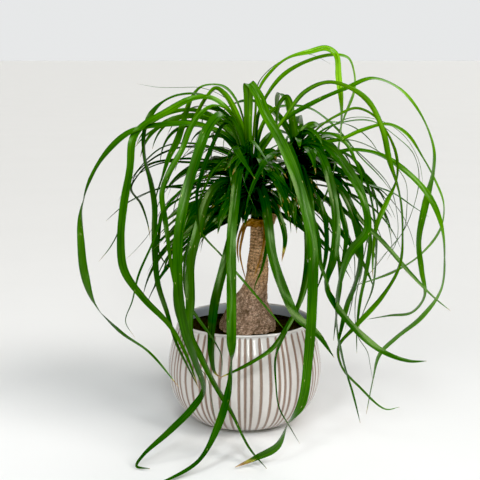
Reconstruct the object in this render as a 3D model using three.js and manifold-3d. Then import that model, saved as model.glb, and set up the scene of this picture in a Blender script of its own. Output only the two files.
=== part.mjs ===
// A ponytail palm in a ribbed glazed pot: pot, soil, a swollen forked trunk, two heads of strap leaves
// and the brown leaves that hang under the first head. Millimetres, +Z up, origin at the centre of the
// pot's foot. The plant is seen from -Y, so its left is -X.
import * as THREE from "three";
import Module from "manifold-3d";

const wasm = await Module();
wasm.setup();

const GAP = 0.3; // between pieces that touch

const POT_HEIGHT = 166;
const POT_PROFILE = [
  // radius and height up the outside, from the foot to the rim
  [60, 0], [80, 6], [102, 25], [115.5, 48], [121.5, 73], [122.5, 95], [117.5, 126], [109.5, 153],
  [105.5, POT_HEIGHT],
];
const POT_INSIDE = [
  // the same up the smooth inside, from the edge of its floor
  [66, 9], [84, 16], [98, 30], [110, 53], [116, 80], [116, 102], [111, 128], [100.5, POT_HEIGHT],
];
const POT_ROWS = 8;
const POT_SIDES = 40; // of the smooth inside
const OVERCUT = 1; // how far the cut for the inside goes past the rim
const RIB_REPEATS = 12; // the ribs come in groups of five: a narrow one, three wide and a narrow one
const RIB_WIDTHS = [4.44, 7.04, 7.04, 7.04, 4.44]; // degrees
const RIB_CREST = 0.25; // share of a rib's width from its groove to the side of its crest
const RIB_DEPTH = 1.8;
const RIB_FADE = 12; // height below the rim over which the ribs rise out of the smooth lip

const SOIL_HEIGHT = 148; // top of the soil at the pot's wall
const SOIL_CROWN = 2.5; // how much higher it is against the trunk
const SOIL_BUMP = 1.2;
const SOIL_RINGS = 4;
const SOIL_GAP = 0.4;

const TRUNK_SIDES = 16;
const TRUNK_ROOT = 124; // height of the trunk's end, down in the soil
const TRUNK = [
  // x, y, height and radius
  [3, 0, TRUNK_ROOT, 43], [3, 0, 140, 47], [4, 0, 152, 45.5], [5, 0, 164, 42], [5, 0, 180, 34.5],
  [7, 0, 192, 29], [10, 0, 203, 25.3], [15, 0, 216, 20.5], [19, 0, 231, 18], [20.5, 0, 257, 16.6],
  [20.5, 0, 276, 13.6], [19.5, 0, 292, 11.4], [18.5, 0, 305, 10], [18, 0, 318, 9.3],
];
const BRANCH = [
  [20, 1, 272, 8], [27, 4, 290, 8], [36, 8, 310, 8], [44, 10, 330, 7.5], [50, 13, 345, 7.5],
  [56, 15, 362, 7.5],
];
const TRUNK_LUMPS = 0.07; // share of the radius, at the swollen foot
const LUMPS_TOP = 240; // height where the lumps have died away
const LUMPS_FADE = 80;
const SCARS_FROM = 231; // height where the leaf scars start on the stem
const BRANCH_SCARS_FROM = 322;
const SCAR_STEP = 11; // between the rings that fallen leaves left
const SCAR_DEPTH = 0.7;

// Each head: the leafy stem that its leaves grow from, the shares of it that hold the roots of the long
// ones, and how far its shorter leaves reach.
const HEADS = {
  left: { base: [18, 0, 328], tip: [9, 0, 414], radius: 9, roots: [0.06, 0.95], reach: 190 },
  right: { base: [56, 15, 362 + GAP], tip: [82, 25, 450], radius: 8, roots: [0.06, 0.95], reach: 215 },
};
const HEAD_SIDES = 10;
const HEAD_TAPER = 0.55;
const LEAF_BASE = 9; // the lowest short leaf's height above the foot of its head
const ROOT_DROP = 6; // a followed leaf's root is this far below its first point
// What is left of the oldest leaves' bases, round the stem.
const COLLAR = { base: [18, 0, 318 + GAP], tip: [18, 0, 328 - GAP], roots: [0.5, 0.5] };
const COLLAR_RADIUS = 11.5;

const BLADE_THICKNESS = 1.2;
const NECK = 0.55; // share of its width that a blade has at its root
const NECK_SHARE = 0.18; // of its length
const TAPER_SHARE = 0.32; // of its length over which a blade narrows to its tip
const TAPER_BEND = 0.7;
const TIP = 0.06;
const SECTIONS = [7, 4]; // of a short leaf's blade, and of the shortest
const CURVE_STEPS = 8; // steps of a followed route between two of its points
const FINE_STEPS = 40; // steps of a leaf that is placed by rule
const LEAST_SPAN = 15; // between sections of a blade
const SHORT_BLADE = 170; // has fewer sections
const LONG_SPAN = 70; // a longer stretch of a route gets a section at its middle

// Long leaves, each followed by hand: its head, its width, the share of its length over which it narrows to
// its tip where that is not the usual one, how far it is rolled at points spread evenly along it (degrees)
// and its route from the stem of the head to the tip.
const LONG_LEAVES = [
  { head: "left", width: 15, taper: 0.07,
    roll: [0, 0, 10, 40, 50, 50, 50, 50, 50, 50, 40, 30, -20, 15, 30, 30], route: [
    [10, -5, 400], [5, -15, 465], [5, -25, 515], [5, -35, 540], [20, -50, 520], [30, -70, 495],
    [55, -100, 450], [80, -135, 385], [95, -160, 315], [95, -175, 240], [90, -185, 160],
    [80, -195, 90], [60, -200, 60], [45, -205, 30], [15, -210, 15], [-15, -220, 5]] },
  { head: "left", width: 15, taper: 0.2,
    roll: [0, 0, 10, -20, -10, -10, -10, -10, -10, 0, 20, 40, 15, 15, 10, 0, 0], route: [
    [5, -5, 405], [-5, -25, 450], [-20, -50, 485], [-35, -75, 495], [-55, -105, 475], [-70, -130, 435],
    [-85, -150, 385], [-95, -165, 325], [-95, -175, 250], [-85, -180, 190], [-70, -185, 145],
    [-60, -190, 110], [-75, -195, 85], [-110, -200, 50], [-145, -210, 20], [-155, -215, 5],
    [-135, -225, 5]] },
  { head: "left", width: 14, taper: 0.25, roll: [0, 0, 0, 0, 0, 0, 0, 0, 90, 40, 40, 50, 30, 30], route: [
    [5, -5, 390], [0, -35, 415], [-10, -75, 410], [-15, -110, 370], [-20, -135, 325], [-20, -150, 275],
    [-20, -165, 220], [-20, -175, 180], [-20, -180, 150], [-25, -190, 105], [-40, -210, 60],
    [-65, -230, 20], [-105, -260, 5], [-130, -280, 5]] },
  { head: "left", width: 14, taper: 0.15, roll: [0, 0, 0, 0, 0, 0, -20, -40, -40], route: [
    [15, -10, 370], [20, -35, 385], [30, -70, 365], [35, -95, 330], [40, -110, 290], [55, -125, 245],
    [75, -140, 205], [105, -145, 180], [130, -150, 145]] },
  { head: "left", width: 15, taper: 0.25,
    roll: [30, 50, 80, 100, 100, 100, 100, 80, 70, 70, 60, 70, 70], route: [
    [-5, -10, 375], [-25, -35, 390], [-45, -65, 385], [-60, -90, 360], [-70, -110, 325],
    [-80, -125, 280], [-80, -140, 230], [-80, -150, 180], [-65, -160, 150], [-45, -165, 110],
    [-20, -175, 70], [5, -195, 25], [30, -225, 5]] },
  { head: "left", width: 14, taper: 0.15, roll: [0, 0, -20, -20, -20, -20, 0, 10, 10, 10], route: [
    [0, -10, 375], [-5, -40, 360], [-15, -75, 330], [-25, -95, 295], [-35, -110, 260],
    [-45, -120, 220], [-50, -125, 180], [-50, -135, 145], [-45, -140, 120], [-35, -140, 110]] },
  { head: "right", width: 8, taper: 0.12, roll: [0, 20, 10, 10, 10, 10, 10, 10, 20, 20, 20], route: [
    [85, 20, 410], [95, -30, 390], [100, -70, 360], [100, -90, 310], [95, -105, 270], [85, -115, 230],
    [65, -125, 190], [40, -135, 155], [15, -145, 140], [-15, -150, 125], [-40, -155, 115]] },
  { head: "left", width: 5, taper: 0.2, roll: [0, 0, 30, 40, 40, 40, 40, 50, 70, 70], route: [
    [0, -10, 405], [-25, -25, 425], [-45, -45, 410], [-60, -60, 385], [-70, -75, 355], [-65, -85, 320],
    [-35, -90, 285], [5, -100, 240], [35, -105, 205], [60, -110, 175]] },
  { head: "right", width: 6, roll: [0, 0, 0, 0, 0, 0, -30, -30, -20, -20, -20], route: [
    [75, 5, 405], [85, -40, 375], [90, -75, 330], [90, -100, 275], [80, -110, 220], [60, -130, 180],
    [45, -140, 145], [45, -150, 105], [50, -155, 70], [65, -165, 45], [80, -170, 20]] },
  { head: "left", width: 13,
    roll: [-35, -35, -35, -35, -35, -35, -20, 20, 70, 90, 170, 215, 225, 240], route: [
    [-5, 0, 435], [-30, -5, 460], [-75, -10, 475], [-130, -20, 475], [-175, -30, 465],
    [-210, -35, 435], [-235, -45, 395], [-250, -50, 345], [-250, -55, 295], [-245, -60, 250],
    [-230, -65, 205], [-190, -80, 165], [-145, -90, 135], [-100, -105, 85]] },
  { head: "left", width: 13,
    roll: [-40, -40, -40, -40, -45, -45, -50, -50, -55, -60, -70, -60, -60, -60, -60], route: [
    [0, 0, 440], [-20, -5, 490], [-50, -10, 515], [-80, -15, 515], [-120, -20, 495], [-155, -25, 475],
    [-170, -35, 455], [-175, -40, 410], [-185, -45, 355], [-190, -50, 300], [-185, -55, 255],
    [-155, -70, 215], [-115, -80, 175], [-90, -95, 135], [-70, -110, 85]] },
  { head: "left", width: 10,
    roll: [-10, -10, -10, -10, -20, -60, -30, -30, -40, -60, -60, -70, -70, -60, -60, -60], route: [
    [0, 10, 450], [-30, 10, 500], [-65, 5, 520], [-100, 0, 520], [-125, 0, 510], [-145, -5, 490],
    [-155, -10, 465], [-155, -15, 425], [-145, -20, 385], [-140, -20, 350], [-140, -30, 305],
    [-135, -45, 235], [-120, -60, 190], [-105, -75, 145], [-85, -95, 110], [-70, -110, 85]] },
  { head: "left", width: 11, roll: [-10, -10, -20, -20, -30, -40, -60, -90, -60, -40, -40, -40], route: [
    [5, 10, 450], [-10, 15, 505], [-30, 15, 530], [-50, 20, 535], [-70, 20, 530], [-85, 20, 510],
    [-95, 15, 480], [-105, 15, 450], [-120, 15, 420], [-130, 10, 390], [-140, 10, 360], [-145, 5, 330]] },
  { head: "left", width: 11, roll: [50, 50, 60, 60, 40, 30, 30, 30, 30, 30], route: [
    [5, 0, 415], [0, -5, 455], [-15, -5, 495], [-30, -5, 520], [-45, -5, 530], [-60, -5, 515],
    [-75, 0, 490], [-90, 5, 465], [-100, 10, 435], [-110, 15, 400]] },
  { head: "left", width: 9, roll: [0], route: [
    [5, -5, 405], [-5, -20, 450], [-20, -35, 480], [-35, -55, 475], [-50, -75, 445], [-60, -90, 420],
    [-70, -105, 385], [-70, -115, 355], [-65, -120, 320]] },
  { head: "left", width: 9, roll: [-20, -20, -20, -30, -40, -50, -50, -50, -50, -50, -50, -50], route: [
    [0, -5, 435], [-15, -15, 490], [-45, -25, 505], [-65, -35, 495], [-80, -40, 475], [-95, -50, 440],
    [-115, -55, 405], [-125, -65, 375], [-120, -70, 335], [-115, -80, 300], [-110, -85, 260],
    [-100, -95, 210]] },
  { head: "left", width: 8, roll: [-20], route: [
    [-5, 10, 380], [-55, 20, 380], [-105, 30, 375], [-150, 40, 365], [-190, 40, 345], [-225, 45, 315]] },
  { head: "left", width: 6, roll: [-20, -20, -20, -20, -20, -50, -50, -50], route: [
    [-5, 20, 415], [-70, 35, 440], [-130, 50, 435], [-170, 55, 400], [-195, 60, 360], [-205, 60, 300],
    [-220, 60, 270], [-240, 60, 245]] },
  { head: "left", width: 5, roll: [-10], route: [
    [-5, 15, 375], [-80, 30, 375], [-130, 40, 340], [-155, 45, 295], [-175, 50, 270], [-195, 50, 250]] },
  { head: "left", width: 5, roll: [-20], route: [
    [-5, -10, 390], [-70, -50, 395], [-115, -70, 360], [-140, -80, 300], [-160, -85, 255],
    [-170, -90, 215], [-180, -95, 185], [-165, -100, 160]] },
  { head: "left", width: 8, roll: [-10, -10, -20, -20, -20, -50, -60, -60, -60], route: [
    [-5, 25, 395], [-65, 40, 415], [-110, 50, 415], [-155, 60, 405], [-175, 65, 385], [-185, 65, 365],
    [-170, 70, 340], [-160, 70, 310], [-155, 70, 280]] },
  { head: "left", width: 7, roll: [-10, -10, -20, -20, -30, -30], route: [
    [-5, 30, 415], [-65, 50, 435], [-115, 65, 430], [-155, 75, 410], [-180, 80, 385], [-190, 85, 350]] },
  { head: "left", width: 11, taper: 0.2,
    roll: [10, 10, 10, 20, 20, 40, 50, 60, 70, 40, 20, 20, 40, 40], route: [
    [10, 0, 420], [15, 0, 485], [20, 0, 525], [40, 5, 555], [65, 5, 575], [100, 10, 585],
    [125, 10, 590], [140, 10, 580], [145, 15, 545], [150, 15, 505], [150, 15, 465], [145, 20, 425],
    [135, 20, 380], [115, 15, 330]] },
  { head: "left", width: 9, taper: 0.15, roll: [20, 20, 20, 30, 30, 20, 20, 20, 20, 30, 30], route: [
    [15, 5, 420], [20, 10, 485], [35, 10, 520], [60, 15, 550], [95, 15, 570], [135, 20, 580],
    [160, 20, 575], [170, 20, 550], [170, 20, 525], [155, 15, 485], [145, 15, 455]] },
  { head: "left", width: 12, taper: 0.12,
    roll: [20, 30, 30, 30, 30, 20, 20, 20, 20, 30, 70, 50, 40, 30, 20, 30, 30], route: [
    [15, 0, 405], [30, 5, 440], [60, 0, 480], [110, 0, 510], [155, -5, 530], [195, -5, 545],
    [235, -10, 530], [270, -10, 490], [290, -15, 440], [290, -20, 405], [280, -20, 355],
    [270, -25, 295], [275, -30, 250], [280, -35, 210], [260, -40, 185], [225, -40, 180],
    [190, -45, 175]] },
  { head: "left", width: 11, taper: 0.22,
    roll: [0, 0, 0, 0, -10, -10, -30, -30, -30, 10, 0, 0, -20, -20, -10, -10, -30, -40, -40], route: [
    [10, -10, 405], [30, -15, 440], [60, -20, 485], [90, -30, 525], [125, -40, 540], [160, -45, 530],
    [185, -55, 510], [205, -60, 470], [215, -70, 425], [230, -80, 375], [235, -85, 320],
    [230, -95, 270], [205, -100, 225], [165, -105, 180], [140, -110, 150], [145, -115, 120],
    [170, -135, 95], [205, -160, 70], [225, -165, 75]] },
  { head: "right", width: 9, taper: 0.12,
    roll: [20, 20, 30, 30, 30, 30, 20, 20, 20, 30, 30, 30, 30], route: [
    [85, 20, 430], [110, 10, 445], [145, 0, 450], [180, 0, 465], [220, -5, 475], [250, -5, 460],
    [275, -5, 425], [295, -5, 390], [310, -10, 350], [305, -10, 310], [275, -10, 270], [235, -15, 245],
    [165, -20, 220]] },
  { head: "right", width: 11, taper: 0.15,
    roll: [30, 30, 30, 30, 40, 50, 30, 0, 20, 30, 30, 20, 10, 10], route: [
    [85, 20, 415], [125, 10, 425], [165, 0, 435], [205, -10, 430], [240, -25, 410], [280, -35, 370],
    [300, -45, 325], [305, -55, 275], [300, -60, 225], [270, -70, 185], [230, -80, 155],
    [205, -85, 130], [195, -90, 90], [185, -100, 40]] },
  { head: "right", width: 8, roll: [30], route: [
    [90, 5, 400], [125, -20, 390], [155, -40, 365], [175, -55, 335], [210, -65, 300], [250, -75, 255],
    [285, -85, 220], [310, -90, 200]] },
  { head: "right", width: 14, roll: [50, 60, 60, 60, 30, 20, 30, -10, -20, -20, 0, 0], route: [
    [80, 10, 435], [100, -10, 450], [130, -35, 440], [155, -60, 410], [175, -85, 370],
    [180, -100, 325], [155, -110, 295], [140, -115, 250], [135, -120, 195], [145, -130, 135],
    [160, -140, 85], [170, -150, 45]] },
  { head: "right", width: 13, taper: 0.2,
    roll: [0, 20, 10, 10, 10, 10, -40, -20, -20, -20, 0, 0], route: [
    [85, 10, 430], [105, -10, 445], [120, -50, 420], [130, -75, 380], [135, -95, 330],
    [130, -110, 285], [120, -115, 245], [135, -120, 215], [165, -130, 180], [205, -140, 150],
    [240, -150, 140], [265, -150, 140]] },
  { head: "right", width: 12, roll: [0], route: [
    [75, 0, 420], [65, -25, 445], [75, -60, 420], [85, -90, 385], [95, -105, 350], [105, -115, 315],
    [110, -120, 280], [125, -130, 240]] },
  { head: "left", width: 8, roll: [0, 0, 0, 0, 10, 10, 10, 10, 10, 10], route: [
    [15, 20, 415], [25, 30, 465], [45, 40, 495], [70, 55, 500], [105, 65, 495], [135, 70, 475],
    [165, 80, 445], [190, 85, 415], [220, 85, 385], [245, 90, 355]] },
  { head: "right", width: 8, roll: [20], route: [
    [90, 20, 395], [125, 30, 385], [160, 40, 390], [200, 45, 375], [240, 50, 360], [270, 50, 340],
    [300, 55, 320]] },
  { head: "right", width: 9, taper: 0.2,
    roll: [0, 0, -20, -20, -20, -30, -30, -30, -60, -60, -60, -60], route: [
    [85, 15, 435], [115, 5, 470], [145, -5, 490], [170, -15, 500], [195, -20, 490], [215, -30, 465],
    [230, -35, 430], [230, -45, 395], [215, -50, 360], [200, -55, 325], [195, -60, 290],
    [195, -60, 245]] },
  { head: "right", width: 6, roll: [10], route: [
    [85, 30, 425], [120, 40, 460], [160, 50, 475], [205, 60, 475], [245, 65, 450], [275, 70, 420],
    [285, 75, 380], [275, 75, 325], [255, 80, 280], [220, 80, 240]] },
  { head: "right", width: 7, roll: [10], route: [
    [90, 30, 420], [130, 45, 450], [170, 50, 435], [205, 60, 405], [235, 60, 370], [250, 65, 320],
    [250, 65, 280], [235, 70, 245]] },
  { head: "right", width: 12, roll: [60, 70, 60, 30, 30, 30, 30], route: [
    [80, 30, 430], [75, 30, 475], [70, 35, 505], [65, 35, 515], [55, 35, 505], [50, 35, 480],
    [45, 30, 450]] },
  { head: "left", width: 11, roll: [0], route: [
    [20, -5, 355], [35, -35, 365], [50, -60, 345], [60, -75, 310], [55, -85, 275]] },
  { head: "right", width: 13, taper: 0.25, roll: [30, 30, 30, 30, 0, 0, 10, 40, 40], route: [
    [90, 10, 400], [130, -20, 395], [155, -45, 365], [170, -60, 320], [175, -70, 275], [165, -80, 235],
    [155, -85, 210], [145, -90, 170], [140, -95, 145]] },
  { head: "right", width: 10, roll: [20], route: [
    [90, 25, 410], [130, 0, 425], [165, -10, 395], [185, -20, 350], [195, -20, 295], [190, -25, 250],
    [180, -35, 205], [175, -40, 155], [175, -45, 120]] },
  { head: "right", width: 10, roll: [20], route: [
    [95, 35, 415], [145, 35, 430], [180, 30, 410], [200, 30, 360], [210, 25, 295], [210, 20, 255],
    [205, 15, 210], [190, 10, 170], [180, 5, 135]] },
];

// Brown leaves, followed by hand in the same way.
const DEAD_LEAVES = [
  { width: 5, roll: [20], route: [
    [8, -8, 324], [0, -15, 319], [-5, -22, 300], [-8, -25, 278], [-5, -27, 257], [1, -28, 235]] },
  { width: 4, roll: [-10], route: [
    [26, -7, 324], [31, -15, 315], [29, -24, 290], [24, -27, 268], [18, -29, 250], [14, -30, 238]] },
  { width: 5, roll: [0], route: [
    [10, 7, 324], [0, 14, 318], [-8, 20, 300], [-12, 24, 275], [-10, 27, 250]] },
  { width: 4, roll: [15], route: [
    [20, 9, 324], [21, 18, 318], [18, 26, 300], [16, 32, 270], [18, 35, 246]] },
  { width: 4, roll: [0], route: [[27, -2, 324], [36, -10, 317], [44, -16, 298], [46, -20, 278]] },
];

// Rule for the shorter leaves round a head: how many, their headings, how steeply the lowest and the
// highest leave the stem (degrees), their length and width.
const ALL_ROUND = [0, 360];
const SHORT_LEAVES = [
  {
    head: "left", seed: 11, count: 38, around: ALL_ROUND,
    rise: [-20, 62], length: [190, 390], width: [8, 13],
  },
  {
    head: "left", seed: 31, count: 22, around: ALL_ROUND,
    rise: [-20, 50], length: [70, 165], width: [7, 12],
  },
  {
    head: "left", seed: 47, count: 6, around: [40, 165],
    rise: [35, 55], length: [400, 520], width: [8, 11],
  },
  {
    head: "right", seed: 23, count: 32, around: ALL_ROUND,
    rise: [-20, 62], length: [190, 380], width: [8, 13],
  },
  {
    head: "right", seed: 59, count: 9, around: ALL_ROUND,
    rise: [-20, 55], length: [90, 180], width: [7, 12],
  },
  {
    head: "right", seed: 53, count: 5, around: [10, 120],
    rise: [35, 55], length: [400, 520], width: [8, 11],
  },
];
const GOLDEN_SHARE = 0.618034; // of the headings from one leaf to the next
const TURN_SPREAD = 0.1;
const RISE_SPREAD = 20;
const FALL = [45, 85]; // how steeply a leaf hangs at its tip, degrees
const FALL_BEND = 1.25; // over 1: the leaf bends later along its length
const SWAY = 1.1; // most a leaf turns sideways, radians
const ROLLS = [40, 90, 120]; // spread of the roll at the root, middle and tip, degrees
const SIDE_ROLLS = [10, 50, 60]; // added to those of a leaf that grows to +X, and taken from one to -X
const TRIES = 9;
const TRY_TURN = 0.35; // radians to the next free heading
const LEAST_SHARE = 0.3; // of its length that a shortened leaf keeps
const LEAF_CLEAR = 2; // between leaves of different heads
const STEM_CLEAR = 22; // kept round the other head's stem and the trunk
const STEM_STEPS = 12;
const ROW_STEPS = 4;
const FREE_STEPS = 4; // steps at the root that are not held clear
const IN_BOUNDS_STEPS = 8; // steps at the root that may lie anywhere
const VIEWPOINT = [-7.7, -1600, 586]; // from where the long leaves are to show
const SHOWN_SHARE = 0.25; // of a long leaf from which on no short one passes before it
const HIDE_SHARE = 0.8; // of the widths of two leaves that may not cover each other
const TRUNK_VIEW = { x: 15, halfWidth: 75, front: 310, back: 300 }; // leaves hang no lower before it
const POT_VIEW = { radius: 140, low: 230 };
const FREE_LOW = 110;

// Colour and roughness of each piece.
const FINISHES = {
  pot: [0xd9d5cf, 0.18],
  soil: [0x1f1813, 1],
  trunk: [0x8c7560, 0.9],
  left_head: [0x3d7a22, 0.45],
  right_head: [0x3a7420, 0.45],
  dead_leaves: [0x9a6b38, 0.85],
};

const vector = (p) => new THREE.Vector3(...p);
const mix = (a, b, share) => a + (b - a) * share;
const mixPoint = (a, b, share) => a.map((value, i) => mix(value, b[i], share));
const radians = THREE.MathUtils.degToRad;

// Repeatable random numbers from 0 to 1.
function randomFrom(seed) {
  let state = seed;
  return () => {
    state = (state + 0x6d2b79f5) | 0;
    let t = Math.imul(state ^ (state >>> 15), state | 1);
    t ^= t + Math.imul(t ^ (t >>> 7), t | 61);
    return ((t ^ (t >>> 14)) >>> 0) / 4294967296;
  };
}

// A closed solid over rings of points that run anticlockwise about the way from ring to ring. A ring of
// one point closes to a tip, and other end rings are closed flat. The walls of a step that is flipped are
// cut along their other diagonals.
function skin(rings, flipped = []) {
  const triangles = [];
  let start = 0;
  rings.slice(1).forEach((ring, i) => {
    const below = rings[i].length;
    const above = ring.length;
    const next = start + below;
    for (let j = 0; j < Math.max(below, above); j++) {
      const k = (j + 1) % Math.max(below, above);
      const [foot, top] = flipped[i] ? [k, j] : [j, k];
      if (below > 1) triangles.push([start + j, start + k, next + (above > 1 ? top : 0)]);
      if (above > 1) triangles.push([start + (below > 1 ? foot : 0), next + k, next + j]);
    }
    start = next;
  });
  for (let j = 1; j + 1 < rings[0].length; j++) triangles.push([0, j + 1, j]);
  for (let j = 1; j + 1 < rings.at(-1).length; j++) triangles.push([start, start + j, start + j + 1]);
  const vertProperties = new Float32Array(rings.flat(2));
  return new wasm.Manifold(
    new wasm.Mesh({ numProp: 3, vertProperties, triVerts: new Uint32Array(triangles.flat()) }),
  );
}

// Level rings of a round body: each row is x, y, height and radius, and grow widens them all.
function roundRings(rows, sides, grow = 0, shape = () => 1) {
  return rows.map(([x, y, z, r]) =>
    Array.from({ length: sides }, (_, k) => {
      const a = (k / sides) * 2 * Math.PI;
      const radius = r * shape(a, z) + grow;
      return [x + radius * Math.cos(a), y + radius * Math.sin(a), z];
    }),
  );
}

// Pot: a ribbed bowl less its smooth inside

const potCurve = new THREE.SplineCurve(POT_PROFILE.map(([r, z]) => new THREE.Vector2(r, z)));
const potRows = potCurve.getPoints(POT_ROWS).map(({ x, y }) => [x, y]);

// Each rib has its groove and two points of its rounded crest.
function ribAngles() {
  const marks = [];
  let angle = -90;
  for (let i = 0; i < RIB_REPEATS; i++)
    for (const width of RIB_WIDTHS) {
      marks.push({ angle, groove: true });
      marks.push({ angle: angle + width * RIB_CREST, groove: false });
      marks.push({ angle: angle + width * (1 - RIB_CREST), groove: false });
      angle += width;
    }
  return marks;
}

function pot() {
  const marks = ribAngles();
  const rings = potRows.map(([r, z]) => {
    const depth = RIB_DEPTH * Math.min(1, (POT_HEIGHT - z) / RIB_FADE);
    return marks.map(({ angle, groove }) => {
      const radius = r - (groove ? depth : 0);
      return [radius * Math.cos(radians(angle)), radius * Math.sin(radians(angle)), z];
    });
  });
  const outside = skin([[[0, 0, 0]], ...rings, [[0, 0, POT_HEIGHT]]]);
  const inside = insideRows(0, POT_HEIGHT).map(([r, z]) => [0, 0, z, r]);
  inside.push([0, 0, POT_HEIGHT + OVERCUT, POT_INSIDE.at(-1)[0]]);
  return outside.subtract(skin(roundRings(inside, POT_SIDES)));
}

// Radius and height up the pot's inside, from its floor to the height given, less the gap.
function insideRows(gap, top) {
  const above = POT_INSIDE.findIndex(([, z]) => z >= top);
  const [low, high] = [POT_INSIDE[above - 1], POT_INSIDE[above]];
  const edge = mixPoint(low, high, (top - low[1]) / (high[1] - low[1]));
  const rows = [...POT_INSIDE.slice(0, above), edge].map(([r, z]) => [r - gap, z]);
  rows[0][1] += gap;
  return rows;
}

// Trunk: a swollen lumpy foot, a stem ringed with leaf scars and a branch to the second head

const trunkLumps = (a, z) => {
  const swell = THREE.MathUtils.smoothstep(LUMPS_TOP - z, 0, LUMPS_FADE);
  return 1 + TRUNK_LUMPS * swell * (0.6 * Math.sin(3 * a + 0.8) + 0.4 * Math.sin(5 * a + z / 14));
};

// The rows of a stem with a shallow ring added at each step above the height given.
function scarred(rows, from) {
  const added = [];
  const half = SCAR_STEP / 2;
  const count = Math.ceil((rows.at(-1)[2] - half - from) / half);
  for (let step = 0; step < count; step++) {
    const z = from + step * half;
    const i = rows.findIndex((row) => row[2] > z);
    const [low, high] = [rows[i - 1], rows[i]];
    const row = mixPoint(low, high, (z - low[2]) / (high[2] - low[2]));
    added.push([row[0], row[1], z, row[3] - (step % 2 ? 0 : SCAR_DEPTH)]);
  }
  return [...rows.filter((row) => row[2] < from), ...added, rows.at(-1)];
}

function trunk(grow = 0) {
  const stem = skin(roundRings(scarred(TRUNK, SCARS_FROM), TRUNK_SIDES, grow, trunkLumps));
  const branch = skin(roundRings(scarred(BRANCH, BRANCH_SCARS_FROM), HEAD_SIDES, grow));
  return stem.add(branch);
}

// Soil: fills the pot to below its rim, a little higher at the trunk, with a plain hole for the trunk

function soilTop(r, a) {
  const bumps = Math.sin(5 * a + r / 9) * Math.sin(3 * a - r / 13);
  return SOIL_HEIGHT + SOIL_CROWN * (1 - r / 100) + SOIL_BUMP * bumps;
}

function soil() {
  const rows = insideRows(SOIL_GAP, SOIL_HEIGHT);
  const [edge] = rows.at(-1);
  const body = roundRings(rows.map(([r, z]) => [0, 0, z, r]), POT_SIDES);
  const top = Array.from({ length: SOIL_RINGS }, (_, i) => {
    const r = edge * (1 - (i + 1) / (SOIL_RINGS + 1));
    return Array.from({ length: POT_SIDES }, (_, k) => {
      const a = (k / POT_SIDES) * 2 * Math.PI;
      return [r * Math.cos(a), r * Math.sin(a), soilTop(r, a)];
    });
  });
  const mound = skin([...body, ...top, [[0, 0, soilTop(0, 0)]]]);
  return mound.subtract(trunk(GAP));
}

// Leaves: each is a route, a width and a roll; its blade is flat above and keeled below

// A leaf that is followed by hand: its route is rooted in the stem of its head, a little below its first
// point, and smoothed.
function followed(leaf) {
  const { base, tip, roots } = HEADS[leaf.head] ?? COLLAR;
  const height = leaf.route[0][2] - ROOT_DROP;
  const up = THREE.MathUtils.clamp((height - base[2]) / (tip[2] - base[2]), ...roots);
  const route = [mixPoint(base, tip, up), ...leaf.route].map(vector);
  const points = new THREE.CatmullRomCurve3(route).getPoints((route.length - 1) * CURVE_STEPS);
  const roll = [leaf.roll[0], ...leaf.roll];
  return { ...leaf, roll, points: points.map((p) => p.toArray()), long: true };
}

// A leaf that leaves its head at one pitch, bends over and hangs, turning a little sideways.
function arching(root, heading, rise, fall, length, sway) {
  const points = [root];
  for (let i = 0; i < FINE_STEPS; i++) {
    const share = (i + 0.5) / FINE_STEPS;
    const pitch = rise - (rise + fall) * share ** FALL_BEND;
    const turned = heading + sway * share * share;
    const step = length / FINE_STEPS;
    const [x, y, z] = points.at(-1);
    points.push([
      x + step * Math.cos(pitch) * Math.cos(turned),
      y + step * Math.cos(pitch) * Math.sin(turned),
      z + step * Math.sin(pitch),
    ]);
  }
  return points;
}

// Whether a short leaf reaches too far, hangs into the pot or hides the trunk at this point.
function outOfBounds([x, y, z], head) {
  if (Math.hypot(x - head.tip[0], y - head.tip[1]) > head.reach) return true;
  const { front, back } = TRUNK_VIEW;
  if (Math.abs(x - TRUNK_VIEW.x) < TRUNK_VIEW.halfWidth) return z < (y < 0 ? front : back);
  return z < (Math.hypot(x, y) < POT_VIEW.radius ? POT_VIEW.low : FREE_LOW);
}

const distance = (a, b) => Math.hypot(a[0] - b[0], a[1] - b[1], a[2] - b[2]);

function tooClose(points, width, others) {
  return others.some((other) => {
    const clear = (width + other.width) / 2 + LEAF_CLEAR;
    return points.slice(FREE_STEPS).some((p) => other.points.some((q) => distance(p, q) < clear));
  });
}

const straight = (a, b, steps) => Array.from({ length: steps + 1 }, (_, i) => mixPoint(a, b, i / steps));
const alongRows = (rows) =>
  rows.slice(1).flatMap((row, i) => straight(rows[i].slice(0, 3), row.slice(0, 3), ROW_STEPS));

// Where a point is for the viewer, at the pot's distance, and how far back it lies.
function seen(point) {
  const [x, y, z] = point.map((value, i) => value - VIEWPOINT[i]);
  return [x / y, z / y, y / -VIEWPOINT[1]].map((value) => value * -VIEWPOINT[1]);
}

const leaves = LONG_LEAVES.map(followed);
const deadLeaves = DEAD_LEAVES.map(followed);
const shown = leaves.flatMap(({ points, width }) =>
  points.slice(Math.floor(points.length * SHOWN_SHARE)).map((p) => [...seen(p), width]),
);

// Whether a short leaf passes before a long one at this point.
function hides(point, width) {
  const [x, z, back] = seen(point);
  return shown.some(([thereX, thereZ, thereBack, other]) => {
    const apart = Math.hypot(x - thereX, z - thereZ);
    return back < thereBack && apart < (HIDE_SHARE * (width + other)) / 2;
  });
}

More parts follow.
